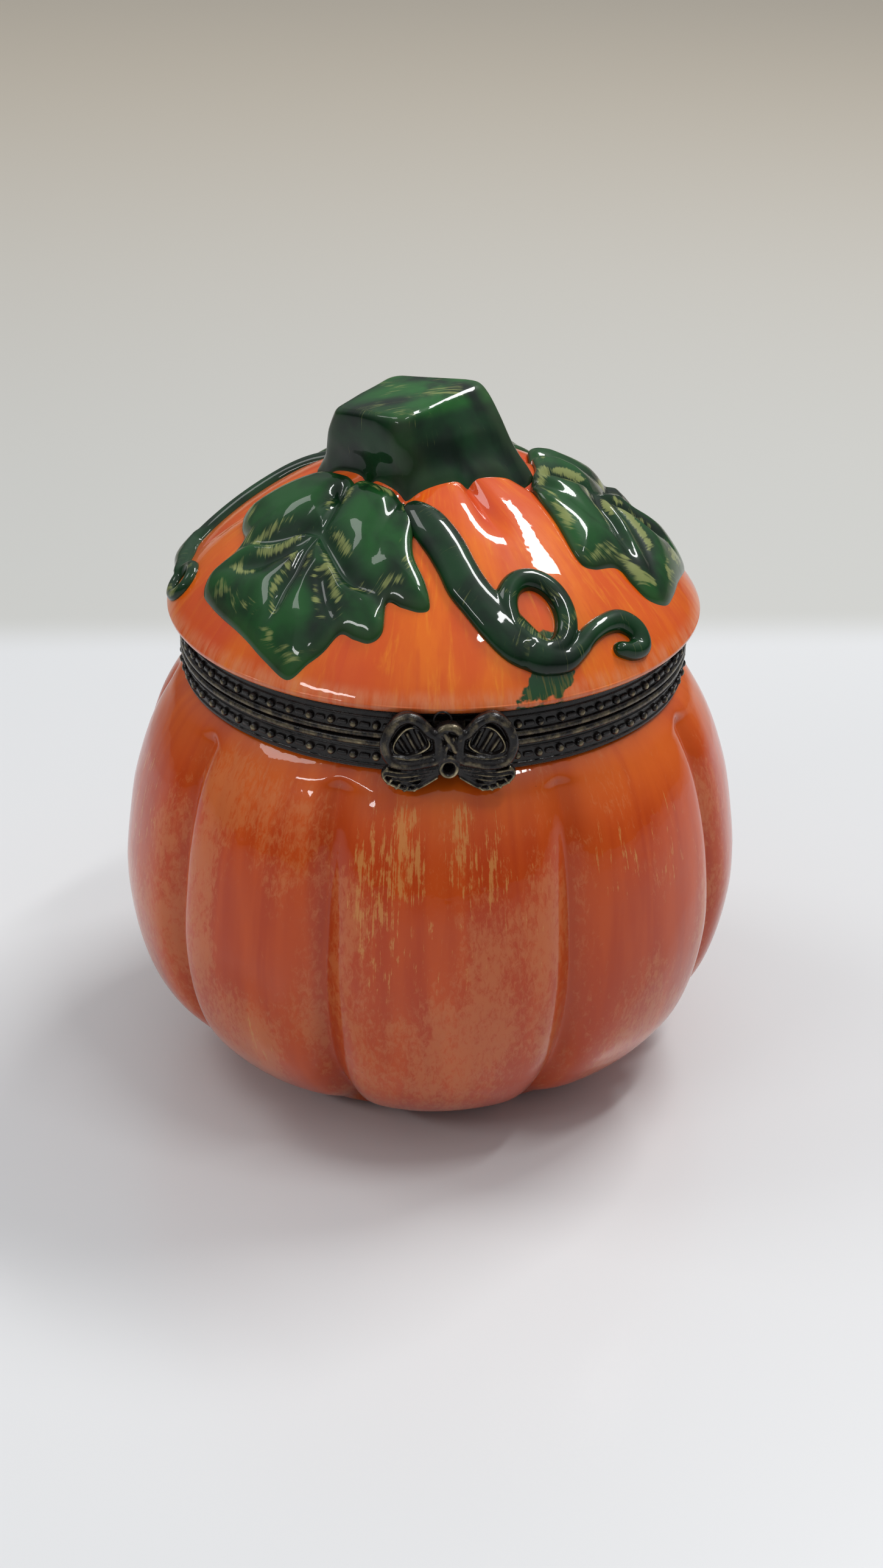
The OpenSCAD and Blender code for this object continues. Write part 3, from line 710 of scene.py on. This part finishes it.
def stem():
    rings = stem_sides()
    foot, rim = rings[0], rings[-1]
    inner = foot.mean(0) + (foot - foot.mean(0)) * 0.5
    inner[:, 2] = lid_top(inner) - 0.6
    middle = rim.mean(0)
    cap = [middle + (rim - middle) * s + [0, 0, 0.32 * (1 - s) ** 0.7]
           for s in (0.96, 0.9, 0.82, 0.7, 0.55, 0.4, 0.25, 0.1)]
    points, faces = capped([inner, *rings, *cap])
    height = points[:, 2] - lid_top(points)
    uneven = np.abs(wobble(points, 7.0, 0.3, 2.0)) * ramp(height, 0.1, 1.5)
    points = points - outwards(points, middle[:2]) * uneven[:, None]
    obj = piece("pumpkin_stem", points, faces, "lid", "green_glaze", [green_glaze], ["stem"])
    az = azimuth(points[:, 0] - middle[0], points[:, 1] - middle[1])
    on_top = ramp(points[:, 2], STEM_TOP - 1.6, STEM_TOP - 0.6)
    side_strand = np.column_stack([az * 0.16, points[:, 2] * 0.8, np.zeros(len(points))])
    top_strand = np.column_stack([points[:, 1] + 40, points[:, 0] * 0.8, np.full(len(points), 5.0)])
    # light: painted light, lighter green on the stem's top
    store(obj, strand=np.where(on_top[:, None] > 0.5, top_strand, side_strand), light=on_top,
          brushed=0.62 * on_top + 0.30 * ramp(height, 0.3, 2) * (1 - on_top),
          thin=ramp(raised(obj, 30), 0.04, 0.22) * 0.5)


# ---- Leaves ----

LEAF_HUB = [-0.4, 15.6]
LEAF_OUTLINE = [
    [-4.2, 8.7], [-7.3, 8.5], [-10.9, 10.4], [-13.1, 13.0], [-12.1, 14.8], [-9.8, 16.8], [-9.5, 18.5],
    [-10.9, 20.2], [-10.4, 21.7], [-8.1, 22.9], [-5.4, 23.8], [-1.3, 24.9], [1.9, 25.6], [5.0, 25.8],
    [6.3, 24.3], [7.1, 23.1], [7.6, 21.4], [9.0, 21.0], [10.4, 20.5], [10.9, 19.3], [9.7, 17.4],
    [11.1, 16.9], [12.6, 16.2], [13.1, 15.3], [11.6, 14.2], [9.3, 13.2], [7.8, 11.9], [6.4, 10.1],
    [4.3, 8.9], [1.3, 8.8], [-1.5, 8.9]]
# The right leaf reaches further round at its front
LEAF_RIGHT = [
    [-4.2, 9.0], [-6.3, 9.4], [-9.2, 11.0], [-12.7, 12.8], [-12.8, 14.4], [-10.9, 16.9], [-11.6, 18.3],
    [-12.0, 19.9], [-10.7, 21.8], [-8.3, 22.9], [-5.2, 23.8], *LEAF_OUTLINE[11:28], [4.3, 9.4],
    [1.3, 9.5], [-1.5, 9.6]]
# Sunk ribs from the hub, each a line of points with its depth and half width
LEAF_RIBS = [
    ([[-0.4, 15.6], [-0.8, 14.1], [-1.5, 12.2], [-2.7, 10.2], [-3.3, 8.9]], 0.60, 0.55),
    ([[-0.4, 15.6], [-3.2, 15.8], [-5.4, 17.1], [-9.0, 18.3]], 0.70, 0.75),
    ([[-0.6, 15.8], [-1.5, 17.5], [-3.5, 19.0], [-6.5, 20.1], [-9.6, 20.6]], 0.32, 0.6),
    ([[-0.4, 15.9], [-0.5, 17.5], [0.0, 19.6], [0.1, 21.3], [0.6, 23.2], [0.2, 24.9]], 0.58, 0.55),
    ([[-0.2, 15.8], [2.5, 17.0], [5.2, 18.0], [7.5, 17.9], [9.8, 17.8]], 0.62, 0.65),
    ([[3.3, 19.4], [4.8, 20.5], [6.3, 21.2], [7.7, 21.6]], 0.36, 0.65)]
LEAF_BODY, LEAF_PUFF = 0.90, 0.72  # thickness of the body, and how far the lobes swell more
LEAF_SEED = 11.0


def leaf_height(q, outline):
    """Height over the lid at each point, and its distance from the nearest rib and from the edge."""
    edge = near_line(q, np.concatenate([outline, outline[:1]]))[0]
    valley, near_rib = np.zeros(len(q)), np.full(len(q), 9.0)
    for line, depth, half in LEAF_RIBS:
        distance, share = near_line(q, curve(line, 5))
        fade = 1 - 0.75 * ramp(share, 0.55, 1.0)
        valley = np.maximum(valley, depth * fade * np.exp(-(distance / half) ** 2))
        near_rib = np.minimum(near_rib, distance + 2.2 * (1 - fade))
    rim = np.sqrt(1 - (1 - np.clip(edge / 1.25, 0, 1)) ** 2)
    swell = ramp(near_rib, 0.1, 3.0) * ramp(edge, 0.0, 3.0)
    return rim * (LEAF_BODY - valley * ramp(edge, 0, 0.9)) + LEAF_PUFF * swell, near_rib, edge


def leaf(node):
    outline = curve(LEAF_RIGHT if node == "leaf_right" else LEAF_OUTLINE, 8, closed=True)
    hub = np.array(LEAF_HUB)
    shares = np.concatenate([np.linspace(0.02, 0.84, 40), 1 - 0.16 * np.linspace(1, 0, 15)[1:] ** 1.3])
    q = np.concatenate([hub + s * (outline - hub) for s in shares])
    height, near_rib, edge = leaf_height(q, outline)
    xy = turn_plan(q, LEAF_AZ[node])
    seed = LEAF_SEED * sorted(LEAF_AZ).index(node)
    height += wobble(np.column_stack([q, np.zeros(len(q))]), 6.0, 0.05, seed) * ramp(edge, 0.3, 1.6)
    top = np.column_stack([xy, lid_top(xy, fill=0.12) + 0.05 + height])
    # the underside follows the lid, a little below its surface
    under_q = np.concatenate([hub + s * (outline - hub) for s in (1.002, 0.8, 0.6, 0.4, 0.2, 0.03)])
    xy = turn_plan(under_q, LEAF_AZ[node])
    under = np.column_stack([xy, lid_top(xy) - 0.35])
    points, faces = capped(np.concatenate([top, under]).reshape(-1, len(outline), 3))
    obj = piece(node + "_relief", points, faces, "lid", "green_glaze", [green_glaze], [node])
    below = np.zeros(len(under))
    near_rib = np.concatenate([near_rib, below + 3, [0, 3]])
    edge = np.concatenate([edge, below, [5, 0]])
    ray = np.concatenate([q, under_q, [hub, hub]]) - hub
    around = azimuth(ray[:, 0], -ray[:, 1])
    beside = np.exp(-((near_rib - 0.95) / 0.6) ** 2)
    brushed = np.maximum(0.85 * beside, 0.72 * np.exp(-((edge - 0.9) / 0.8) ** 2))
    store(obj, strand=np.column_stack([np.linalg.norm(ray, axis=1), around * 0.14, np.full(len(ray), seed)]),
          brushed=brushed * (1.4 if node == "leaf_right" else 1.0),
          # light: painted light on the puffs away from the ribs, painted shade in the ribs' valleys
          light=0.55 * ramp(near_rib, 0.6, 2.4),
          thin=0.55 * (1 - ramp(edge, 0.1, 0.8)))


# ---- Vines ----

# Centre lines in plan: across, outwards, half width. Each ring: its middle, radius across and
# outwards, turn in degrees and half width
VINES = {
    "vine_front": {
        "run": [
            [-5.7, 9.4, 1.4], [-5.2, 10.8, 1.8], [-4.8, 12.4, 1.95], [-4.4, 14.2, 1.95], [-4.1, 16.3, 1.9],
            [-3.8, 18.0, 2.0], [-3.1, 19.6, 2.0], [-1.9, 21.5, 2.2], [-0.5, 23.2, 2.2], [1.4, 24.3, 1.8]],
        "tendril": [
            [0.2, 23.8, 1.9], [1.4, 24.3, 1.8], [3.3, 24.5, 1.35], [5.0, 23.8, 1.1], [6.8, 22.6, 1.0],
            [8.7, 21.6, 1.05], [10.5, 21.0, 1.2], [12.0, 21.3, 1.2], [12.2, 22.3, 1.1], [11.0, 23.0, 0.95],
            [9.7, 23.2, 0.8]],
        "ring": (1.9, 21.1, 2.8, 2.8, 0, 1.12)},
    "vine_left": {
        "run": [
            [-5.5, 9.6, 1.1], [-5.4, 10.4, 1.25], [-5.2, 12.2, 1.25], [-4.9, 14.2, 1.15], [-4.4, 16.4, 1.1],
            [-3.6, 18.4, 1.05], [-2.4, 20.3, 1.1], [-0.9, 22.1, 1.1], [0.9, 23.7, 1.2], [2.9, 24.7, 1.35]],
        "tendril": [
            [2.0, 24.4, 1.3], [2.9, 24.7, 1.35], [4.7, 24.7, 1.5], [6.3, 24.2, 1.4], [7.8, 23.7, 1.0],
            [9.4, 23.3, 0.75]],
        "ring": (11.3, 22.3, 1.8, 1.05, -27, 0.68)}}


def ellipse(x, y, across, deep, turn):
    """Closed line of points round a turned ellipse in plan."""
    t, a = np.linspace(0, 2 * math.pi, 60), math.radians(turn)
    return np.column_stack([x + across * np.cos(t) * math.cos(a) - deep * np.sin(t) * math.sin(a),
                            y + across * np.cos(t) * math.sin(a) + deep * np.sin(t) * math.cos(a)])


def dome_up(x, y):
    """Unit vectors square to the lid's dome, from its slopes over a short way to each side."""
    e = 0.3
    slope_x = (dome(np.hypot(x + e, y)) - dome(np.hypot(x - e, y))) / (2 * e)
    slope_y = (dome(np.hypot(x, y + e)) - dome(np.hypot(x, y - e))) / (2 * e)
    up = np.column_stack([-slope_x, -slope_y, np.ones(len(x))])
    return up / np.linalg.norm(up, axis=1, keepdims=True)


def vine(node):
    def lid_tube(plan, half_width, half_height, lift, sides):
        xy = turn_plan(plan, VINE_AZ[node])
        line = np.column_stack([xy, lid_top(xy, fill=0.1) + lift])
        return tube(line, half_width, half_height, dome_up(*xy.T), sides)

    run, tendril = curve(VINES[node]["run"], 8), curve(VINES[node]["tendril"], 8)
    run, run_half = run[:, :2], run[:, 2]
    tendril, tendril_half = tendril[:, :2], tendril[:, 2]
    *ring, ring_half = VINES[node]["ring"]
    ring = ellipse(*ring)
    points, faces = joined([lid_tube(run, run_half, 0.9 + 0.12 * run_half, 0.0, 24),
                            lid_tube(tendril, tendril_half, 0.75 + 0.3 * tendril_half, 0.05, 24),
                            lid_tube(ring, ring_half, 1.07 * ring_half, 0.05, 16)])
    # the root stays inside the lid's wall
    points[:, 2] = np.maximum(points[:, 2], lid_top(points) - 0.7)
    obj = cast(node + "_relief", points, faces, 0.13, 6, body="lid", slot="green_glaze",
               materials=[green_glaze], replaces=[node])
    points = mesh_points(obj.data)
    plan = turn_plan(points, VINE_AZ[node])
    distance, share = near_line(plan, np.concatenate([run, tendril]))
    on_ring = near_line(plan, ring)[0] < distance
    height = points[:, 2] - lid_top(points)
    store(obj, strand=np.column_stack([share * 60, distance * 1.1, np.zeros(len(points))]),
          brushed=ramp(height, 0.5, 1.0) * np.where(on_ring, 0.6, 0.35),
          light=np.zeros(len(points)),
          thin=0.45 * (1 - ramp(height, 0.1, 0.5)))


# ---- Brass ----

BAND_STEPS = 720
BAND_BEVEL = 0.12
FLANGE_T = 0.5
SEAT_HALF = 6  # half width of the flat on which the hinge is soldered
BEADS = 72


def bezel(body, band, ridges):
    """Band with an inward flange; each ridge is [height above the band's lower edge, half height, rise]."""
    low, high = band
    z = np.linspace(low, high, 90)
    r = np.full(len(z), BAND_R)
    for at, half, rise in ridges:
        bulge = np.sqrt(np.maximum(0, 1 - ((z - low - at) / half) ** 2))
        r = np.maximum(r, BAND_R + rise * bulge)
    corner = np.minimum(z - low, high - z)
    r = r - BAND_BEVEL * (1 - np.clip(corner / BAND_BEVEL, 0, 1)) ** 2
    inner = COLLAR_R + 0.2
    flange = [(MOUTH_R, high), (MOUTH_R, high - FLANGE_T), (inner, high - FLANGE_T), (inner, low)]
    if body == "lid":
        flange = [(inner, high), (inner, low + FLANGE_T), (MOUTH_R, low + FLANGE_T), (MOUTH_R, low)]
    profile = np.concatenate([np.column_stack([r, z]), flange, [[r[0], low]]])
    az = np.linspace(0, 360, BAND_STEPS, endpoint=False)
    rings = np.array([polar(radius, az, level) for radius, level in profile])
    seat = math.sqrt(BAND_R ** 2 - SEAT_HALF ** 2) + 0.25
    back = (np.abs(rings[..., 0]) < HINGE_HALF) & (rings[..., 1] > 0)
    rings[..., 1] = np.where(back, np.minimum(rings[..., 1], seat), rings[..., 1])
    points, faces = rings.reshape(-1, 3), grid_faces(len(profile), BAND_STEPS)
    obj = piece(body + "_bezel_band", points, faces, body, "antique_brass", [worn_brass],
                [body + "_bezel"])
    radius = np.hypot(points[:, 0], points[:, 1])
    store(obj, worn=0.40 * ramp(radius, BAND_R + 0.12, BAND_R + 0.36))


def bead_rim(body):
    """Round beads that alternate with short flat bars, left out where the hinge sits."""
    node = body + "_bead_rim"
    low, high = box_mm(node)
    z = (low[2] + high[2]) / 2
    u, v = np.meshgrid(np.linspace(0, 2 * math.pi, 18, endpoint=False), np.linspace(0, math.pi, 11)[1:-1])
    ball = np.stack([np.sin(v) * np.cos(u), np.sin(v) * np.sin(u), np.cos(v)], -1)
    bar = np.sign(ball) * np.abs(ball) ** 0.45
    # shape, place along the row, half sizes, how far it stands out, and how bright it is rubbed
    kinds = ((ball, 0.0, np.array([0.42, 0.40, 0.42]), 0.08, 1.0),
             (bar, 0.5, np.array([0.50, 0.26, 0.24]), 0.0, 0.6))
    rng = np.random.default_rng(7)
    parts, worn = [], []
    for k in range(BEADS):
        for shape, offset, half, deep, rub in kinds:
            a = math.radians(360 * (k + offset) / BEADS)
            if abs(BAND_R * math.sin(a)) < HINGE_HALF + 0.4 and math.cos(a) < 0:
                continue
            local = shape * (half * rng.uniform(0.92, 1.06, 3))
            local[..., 1] = np.minimum(local[..., 1] + deep, 0.47)
            out = np.array([math.sin(a), -math.cos(a), 0])
            side = np.array([math.cos(a), math.sin(a), 0])
            centre = out * BAND_R + np.array([0, 0, z + rng.uniform(-0.03, 0.03)])
            rings = centre + local[..., :1] * side + local[..., 1:2] * out + local[..., 2:] * [0, 0, 1]
            parts.append(capped(rings))
            x, y = parts[-1][0].T[:2]
            worn.append(rub * ramp(np.hypot(x, y), BAND_R + 0.22, BAND_R + 0.5))
    points, faces = joined(parts)
    obj = piece(body + "_beads", points, faces, body, "antique_brass", [worn_brass], [node])
    store(obj, worn=np.concatenate(worn) * 0.62)


# Right half of the bow as [across, up] from its middle; the left half mirrors it
WING = [
    [0.7, 1.6], [1.5, 2.3], [2.6, 3.5], [3.9, 4.0], [5.2, 3.3], [6.0, 1.9], [6.2, 0.7], [5.8, -0.6],
    [5.0, -1.3], [3.6, -1.5], [2.0, -1.2], [0.7, -0.7]]
WINDOW = [
    [1.8, 0.9], [2.4, 2.2], [3.2, 2.7], [4.2, 2.3], [5.0, 1.1], [5.0, 0.3], [4.2, -0.2], [2.9, 0.0]]
TAIL = [
    [0.6, -0.8], [2.0, -1.2], [3.6, -1.3], [5.4, -1.4], [6.1, -2.0], [5.9, -2.7], [5.1, -3.4],
    [3.5, -3.9], [2.4, -3.5], [1.0, -2.6], [0.5, -1.9]]
BOW_T = 1.6
PLATE_LOW, PLATE_HIGH = 0.05, 0.55  # lower and upper face of the wings' plate, over the bow's back


def raised_line(points, z, half_width, half_height, side=1, closed=False):
    """Rounded ridge of the bow along [across, up] points, at this height over its back."""
    line = curve(np.array(points, float), 6, closed)
    if closed:
        line = line[np.arange(len(line) + 4) % len(line)]
    line = np.column_stack([line * [side, 1], np.broadcast_to(z, len(line))])
    return tube(line, half_width, half_height)


def bow_half(side):
    """Wing and tail on one side of the knot: a sunk window with ribs in a thick rolled rim."""
    rim = np.array(WING) + (np.array([3.5, 1.1]) - WING) * 0.13
    # every other ridge: its line, height over the back, half width and half height
    ribs = [([[2.15 + 0.85 * k, 0.35 - 0.1 * k], [2.6 + 0.85 * k, 1.3 - 0.2 * k],
              [3.05 + 0.8 * k, 2.35 - 0.42 * k]], 0.62, 0.20, 0.30) for k in range(3)]
    rolls = [([[1.0, 0.1], [2.2, -0.25], [3.6, -0.45], [5.2, -0.2]], 0.92, 0.22, 0.46),
             ([[0.9, -0.9], [2.2, -1.25], [3.8, -1.3], [5.2, -1.15]], 0.86, 0.26, 0.46)]
    pleats = [([[0.8, -1.3 + 0.45 * (y + 1.4)], [2.2, -1.45 + 0.8 * (y + 1.4)],
                [reach - 1.4, y - 0.18], [reach, y + 0.05]], z, 0.17, 0.34)
              for y, reach, z in ((-1.75, 5.7, 0.78), (-2.2, 5.6, 0.74), (-2.65, 5.1, 0.70),
                                  (-3.1, 4.3, 0.66))]
    border = [([[5.6, -1.5], [6.0, -2.0], [5.8, -2.7], [5.0, -3.3], [3.5, -3.75], [2.4, -3.35], [1.1, -2.5]],
               0.66, 0.20, 0.42)]
    frays = [([[x - 0.25, y + 0.3], [x, y], [x + 0.05, y - 0.06]], 0.6, 0.2, 0.5)
             for x, y in ((5.95, -2.35), (5.5, -3.0), (4.75, -3.5), (4.0, -3.75), (3.1, -3.75))]
    return [*(plate(curve(part, 6, closed=True) * [side, 1], PLATE_LOW, PLATE_HIGH) for part in (WING, TAIL)),
            raised_line(rim, 0.92, 0.52, 0.58, side, closed=True),
            raised_line(WINDOW, 0.72, 0.16, 0.42, side, closed=True),
            *(raised_line(*ridge, side) for ridge in ribs + rolls + pleats + border + frays)]


def knot():
    """Lumpy knot between the wings, with a small loop below it."""
    body = curve([[-1.4, 2.0], [-0.9, 2.75], [0, 3.0], [0.9, 2.75], [1.4, 2.0], [1.35, 0.6], [1.0, -0.8],
                  [0, -1.2], [-1.0, -0.8], [-1.35, 0.6]], 5, closed=True)
    turn = np.linspace(0, 2 * math.pi, 15)[:-1]
    loop = np.column_stack([0.74 * np.cos(turn), -1.45 + 0.82 * np.sin(turn)])
    parts = [plate(body, PLATE_LOW, 0.8), raised_line(loop, 0.72, 0.32, 0.62, closed=True)]
    for line, z, half in (([[-1.0, 2.1], [-0.4, 2.6], [0.4, 2.6], [1.0, 2.15]], 1.1, 0.42),
                          ([[-1.15, 1.9], [-1.1, 0.9], [-0.7, -0.3]], 0.95, 0.36),
                          ([[1.15, 1.9], [1.1, 0.9], [0.7, -0.3]], 0.95, 0.36),
                          ([[-0.5, 2.2], [0.0, 1.4], [0.6, 0.4]], 1.15, 0.34),
                          ([[0.3, 1.5], [-0.3, 0.6], [-0.5, -0.3]], 1.05, 0.3),
                          ([[-0.7, -0.5], [0.0, -0.25], [0.7, -0.5]], 1.0, 0.3)):
        parts.append(raised_line(line, z, half, 0.42))
    return parts


def bow():
    points, faces = joined(bow_half(1) + bow_half(-1) + knot())
    points[:, 2] = np.minimum(points[:, 2], BOW_T - 0.02)
    # the height over its back becomes depth towards the front
    depth = np.minimum(-BOW_BACK - points[:, 2], -BOW_BACK)
    placed = np.column_stack([points[:, 0], depth, PART_Z + points[:, 1]])
    obj = cast("bow_clasp_casting", placed, faces, 0.085, 2, body="base", slot="antique_brass",
               materials=[worn_brass], replaces=["bow_clasp"])
    lift = -BOW_BACK - mesh_points(obj.data)[:, 1]
    store(obj, worn=ramp(raised(obj, 18), -0.01, 0.09) * ramp(lift, 0.6, 1.2) * 0.95)


def catch_wire():
    """Small wire loop of the catch, seen above the knot."""
    turn = np.radians(np.linspace(-20, 205, 22))
    line = np.column_stack([-0.6 + 0.8 * np.cos(turn), np.full(len(turn), -BOW_BACK - 0.15),
                            PART_Z + 3.0 + 0.8 * np.sin(turn)])
    points, faces = tube(line, 0.1, 0.1, up=(0, 1, 0), sides=10)
    piece("catch_wire", points, faces, "lid", "antique_brass", [dark_brass])


base_shell()
lid_shell()
stem()
for leaf_node in LEAF_AZ:
    leaf(leaf_node)
for vine_node in VINE_AZ:
    vine(vine_node)
bezel("base", BASE_BAND, [[2.72, 0.38, 0.36], [0.45, 0.11, 0.14], [2.02, 0.12, 0.12]])
bezel("lid", LID_BAND, [[0.38, 0.36, 0.36], [2.1, 0.12, 0.16], [2.72, 0.12, 0.14]])
bead_rim("base")
bead_rim("lid")
bow()
catch_wire()

# CAD nodes that stay as they are and only take a material
PLAIN_BRASS = ("clasp_bracket", "base_hinge_knuckles", "hinge_pin", "lid_hinge_knuckle", "catch_tongue")
for material, cad_nodes in ((dark_brass, PLAIN_BRASS), (cement_material(), ("base_cement", "lid_cement"))):
    for cad_node in cad_nodes:
        slots = frame["nodes"][cad_node].data.materials
        slots.clear()
        slots.append(material)


# ---- Floor, light and camera ----

LIT_POINT = Vector((0, 0, 45)) * MM
FLOOR_HALF = 3000.0


def floor():
    """Pale table that turns into a pale wall behind the box."""
    n = surface("table", {"Roughness": 0.28})
    y = n.add("SeparateXYZ", {"Vector": n.add("NewGeometry").outputs["Position"]}).outputs["Y"]
    tone = n.spots(0.01, detail=2)
    white = n.mix(tone, (0.635, 0.645, 0.65), (0.66, 0.665, 0.67))
    wall = n.mix(n.step(y, 0.10, 0.60), (0.52, 0.52, 0.495), (0.63, 0.56, 0.45))
    n.color = n.mix(n.step(y, 0.097, 0.112), white, wall)
    corners = [[x * FLOOR_HALF, y * FLOOR_HALF, 0] for x, y in ((-1, -1), (1, -1), (1, 1), (-1, 1))]
    obj = piece("floor", corners, [(0, 1, 2, 3)], None, None, [n.done()])


def area_light(name, az, elevation, distance, width, height, power):
    """Soft panel at this direction from the box, facing it."""
    lamp = bpy.data.lights.new(name, "AREA")
    lamp.shape, lamp.size, lamp.size_y, lamp.energy = "RECTANGLE", width, height, power
    obj = bpy.data.objects.new(name, lamp)
    a, e = math.radians(az), math.radians(elevation)
    away = Vector((math.sin(a) * math.cos(e), -math.cos(a) * math.cos(e), math.sin(e)))
    obj.location = LIT_POINT + away * distance
    obj.rotation_euler = away.to_track_quat("Z", "Y").to_euler()
    bpy.context.scene.collection.objects.link(obj)


def world():
    """Soft light from above that falls off to a dim room at the horizon. The camera sees it pale."""
    made = bpy.data.worlds.new("studio")
    n = Nodes(made, "Background", {"Color": (0.95, 0.97, 1.0)})
    height = n.add("SeparateXYZ", {"Vector": n.add("TexCoord").outputs["Generated"]}).outputs["Z"]
    rise = n.add("MapRange", {"Value": height, "From Min": 0.05, "From Max": 0.8,
                              "To Min": 0.10, "To Max": 0.66})
    seen = n.add("Mix")
    n.put(seen.inputs[0], n.add("LightPath").outputs["Is Camera Ray"])
    n.put(seen.inputs[2], rise.outputs["Result"])
    n.put(seen.inputs[3], 0.55)
    n.put(n.shader.inputs["Strength"], seen.outputs[0])
    bpy.context.scene.world = made


def camera():
    """Stands in front and above, turned a little to the right and rolled by a degree."""
    data = bpy.data.cameras.new("camera")
    data.lens, data.sensor_width = 54.08, 36.0
    data.clip_start, data.clip_end = 0.01, 20
    obj = bpy.data.objects.new("camera", data)
    yaw, pitch, roll = math.radians(3.7), math.radians(27.67), 0.019
    turned = (Matrix.Rotation(-yaw, 4, "Z") @ Matrix.Rotation(math.pi / 2 - pitch, 4, "X")
              @ Matrix.Rotation(roll, 4, "Z"))
    obj.matrix_world = Matrix.Translation(Vector((-13.0, -218.6, 143.9)) * MM) @ turned
    bpy.context.scene.collection.objects.link(obj)
    bpy.context.scene.camera = obj


floor()
world()
area_light("ceiling_panel", 125, 57, 0.60, 0.26, 0.09, 2.1)
area_light("front_panel", 54, 66, 0.60, 0.20, 0.03, 0.7)
area_light("left_panel", -50, 33, 0.65, 0.26, 0.035, 0.5)
area_light("side_panel", -104, 55, 0.8, 0.25, 0.25, 1.0)
camera()
bpy.context.scene.view_settings.view_transform = "Standard"
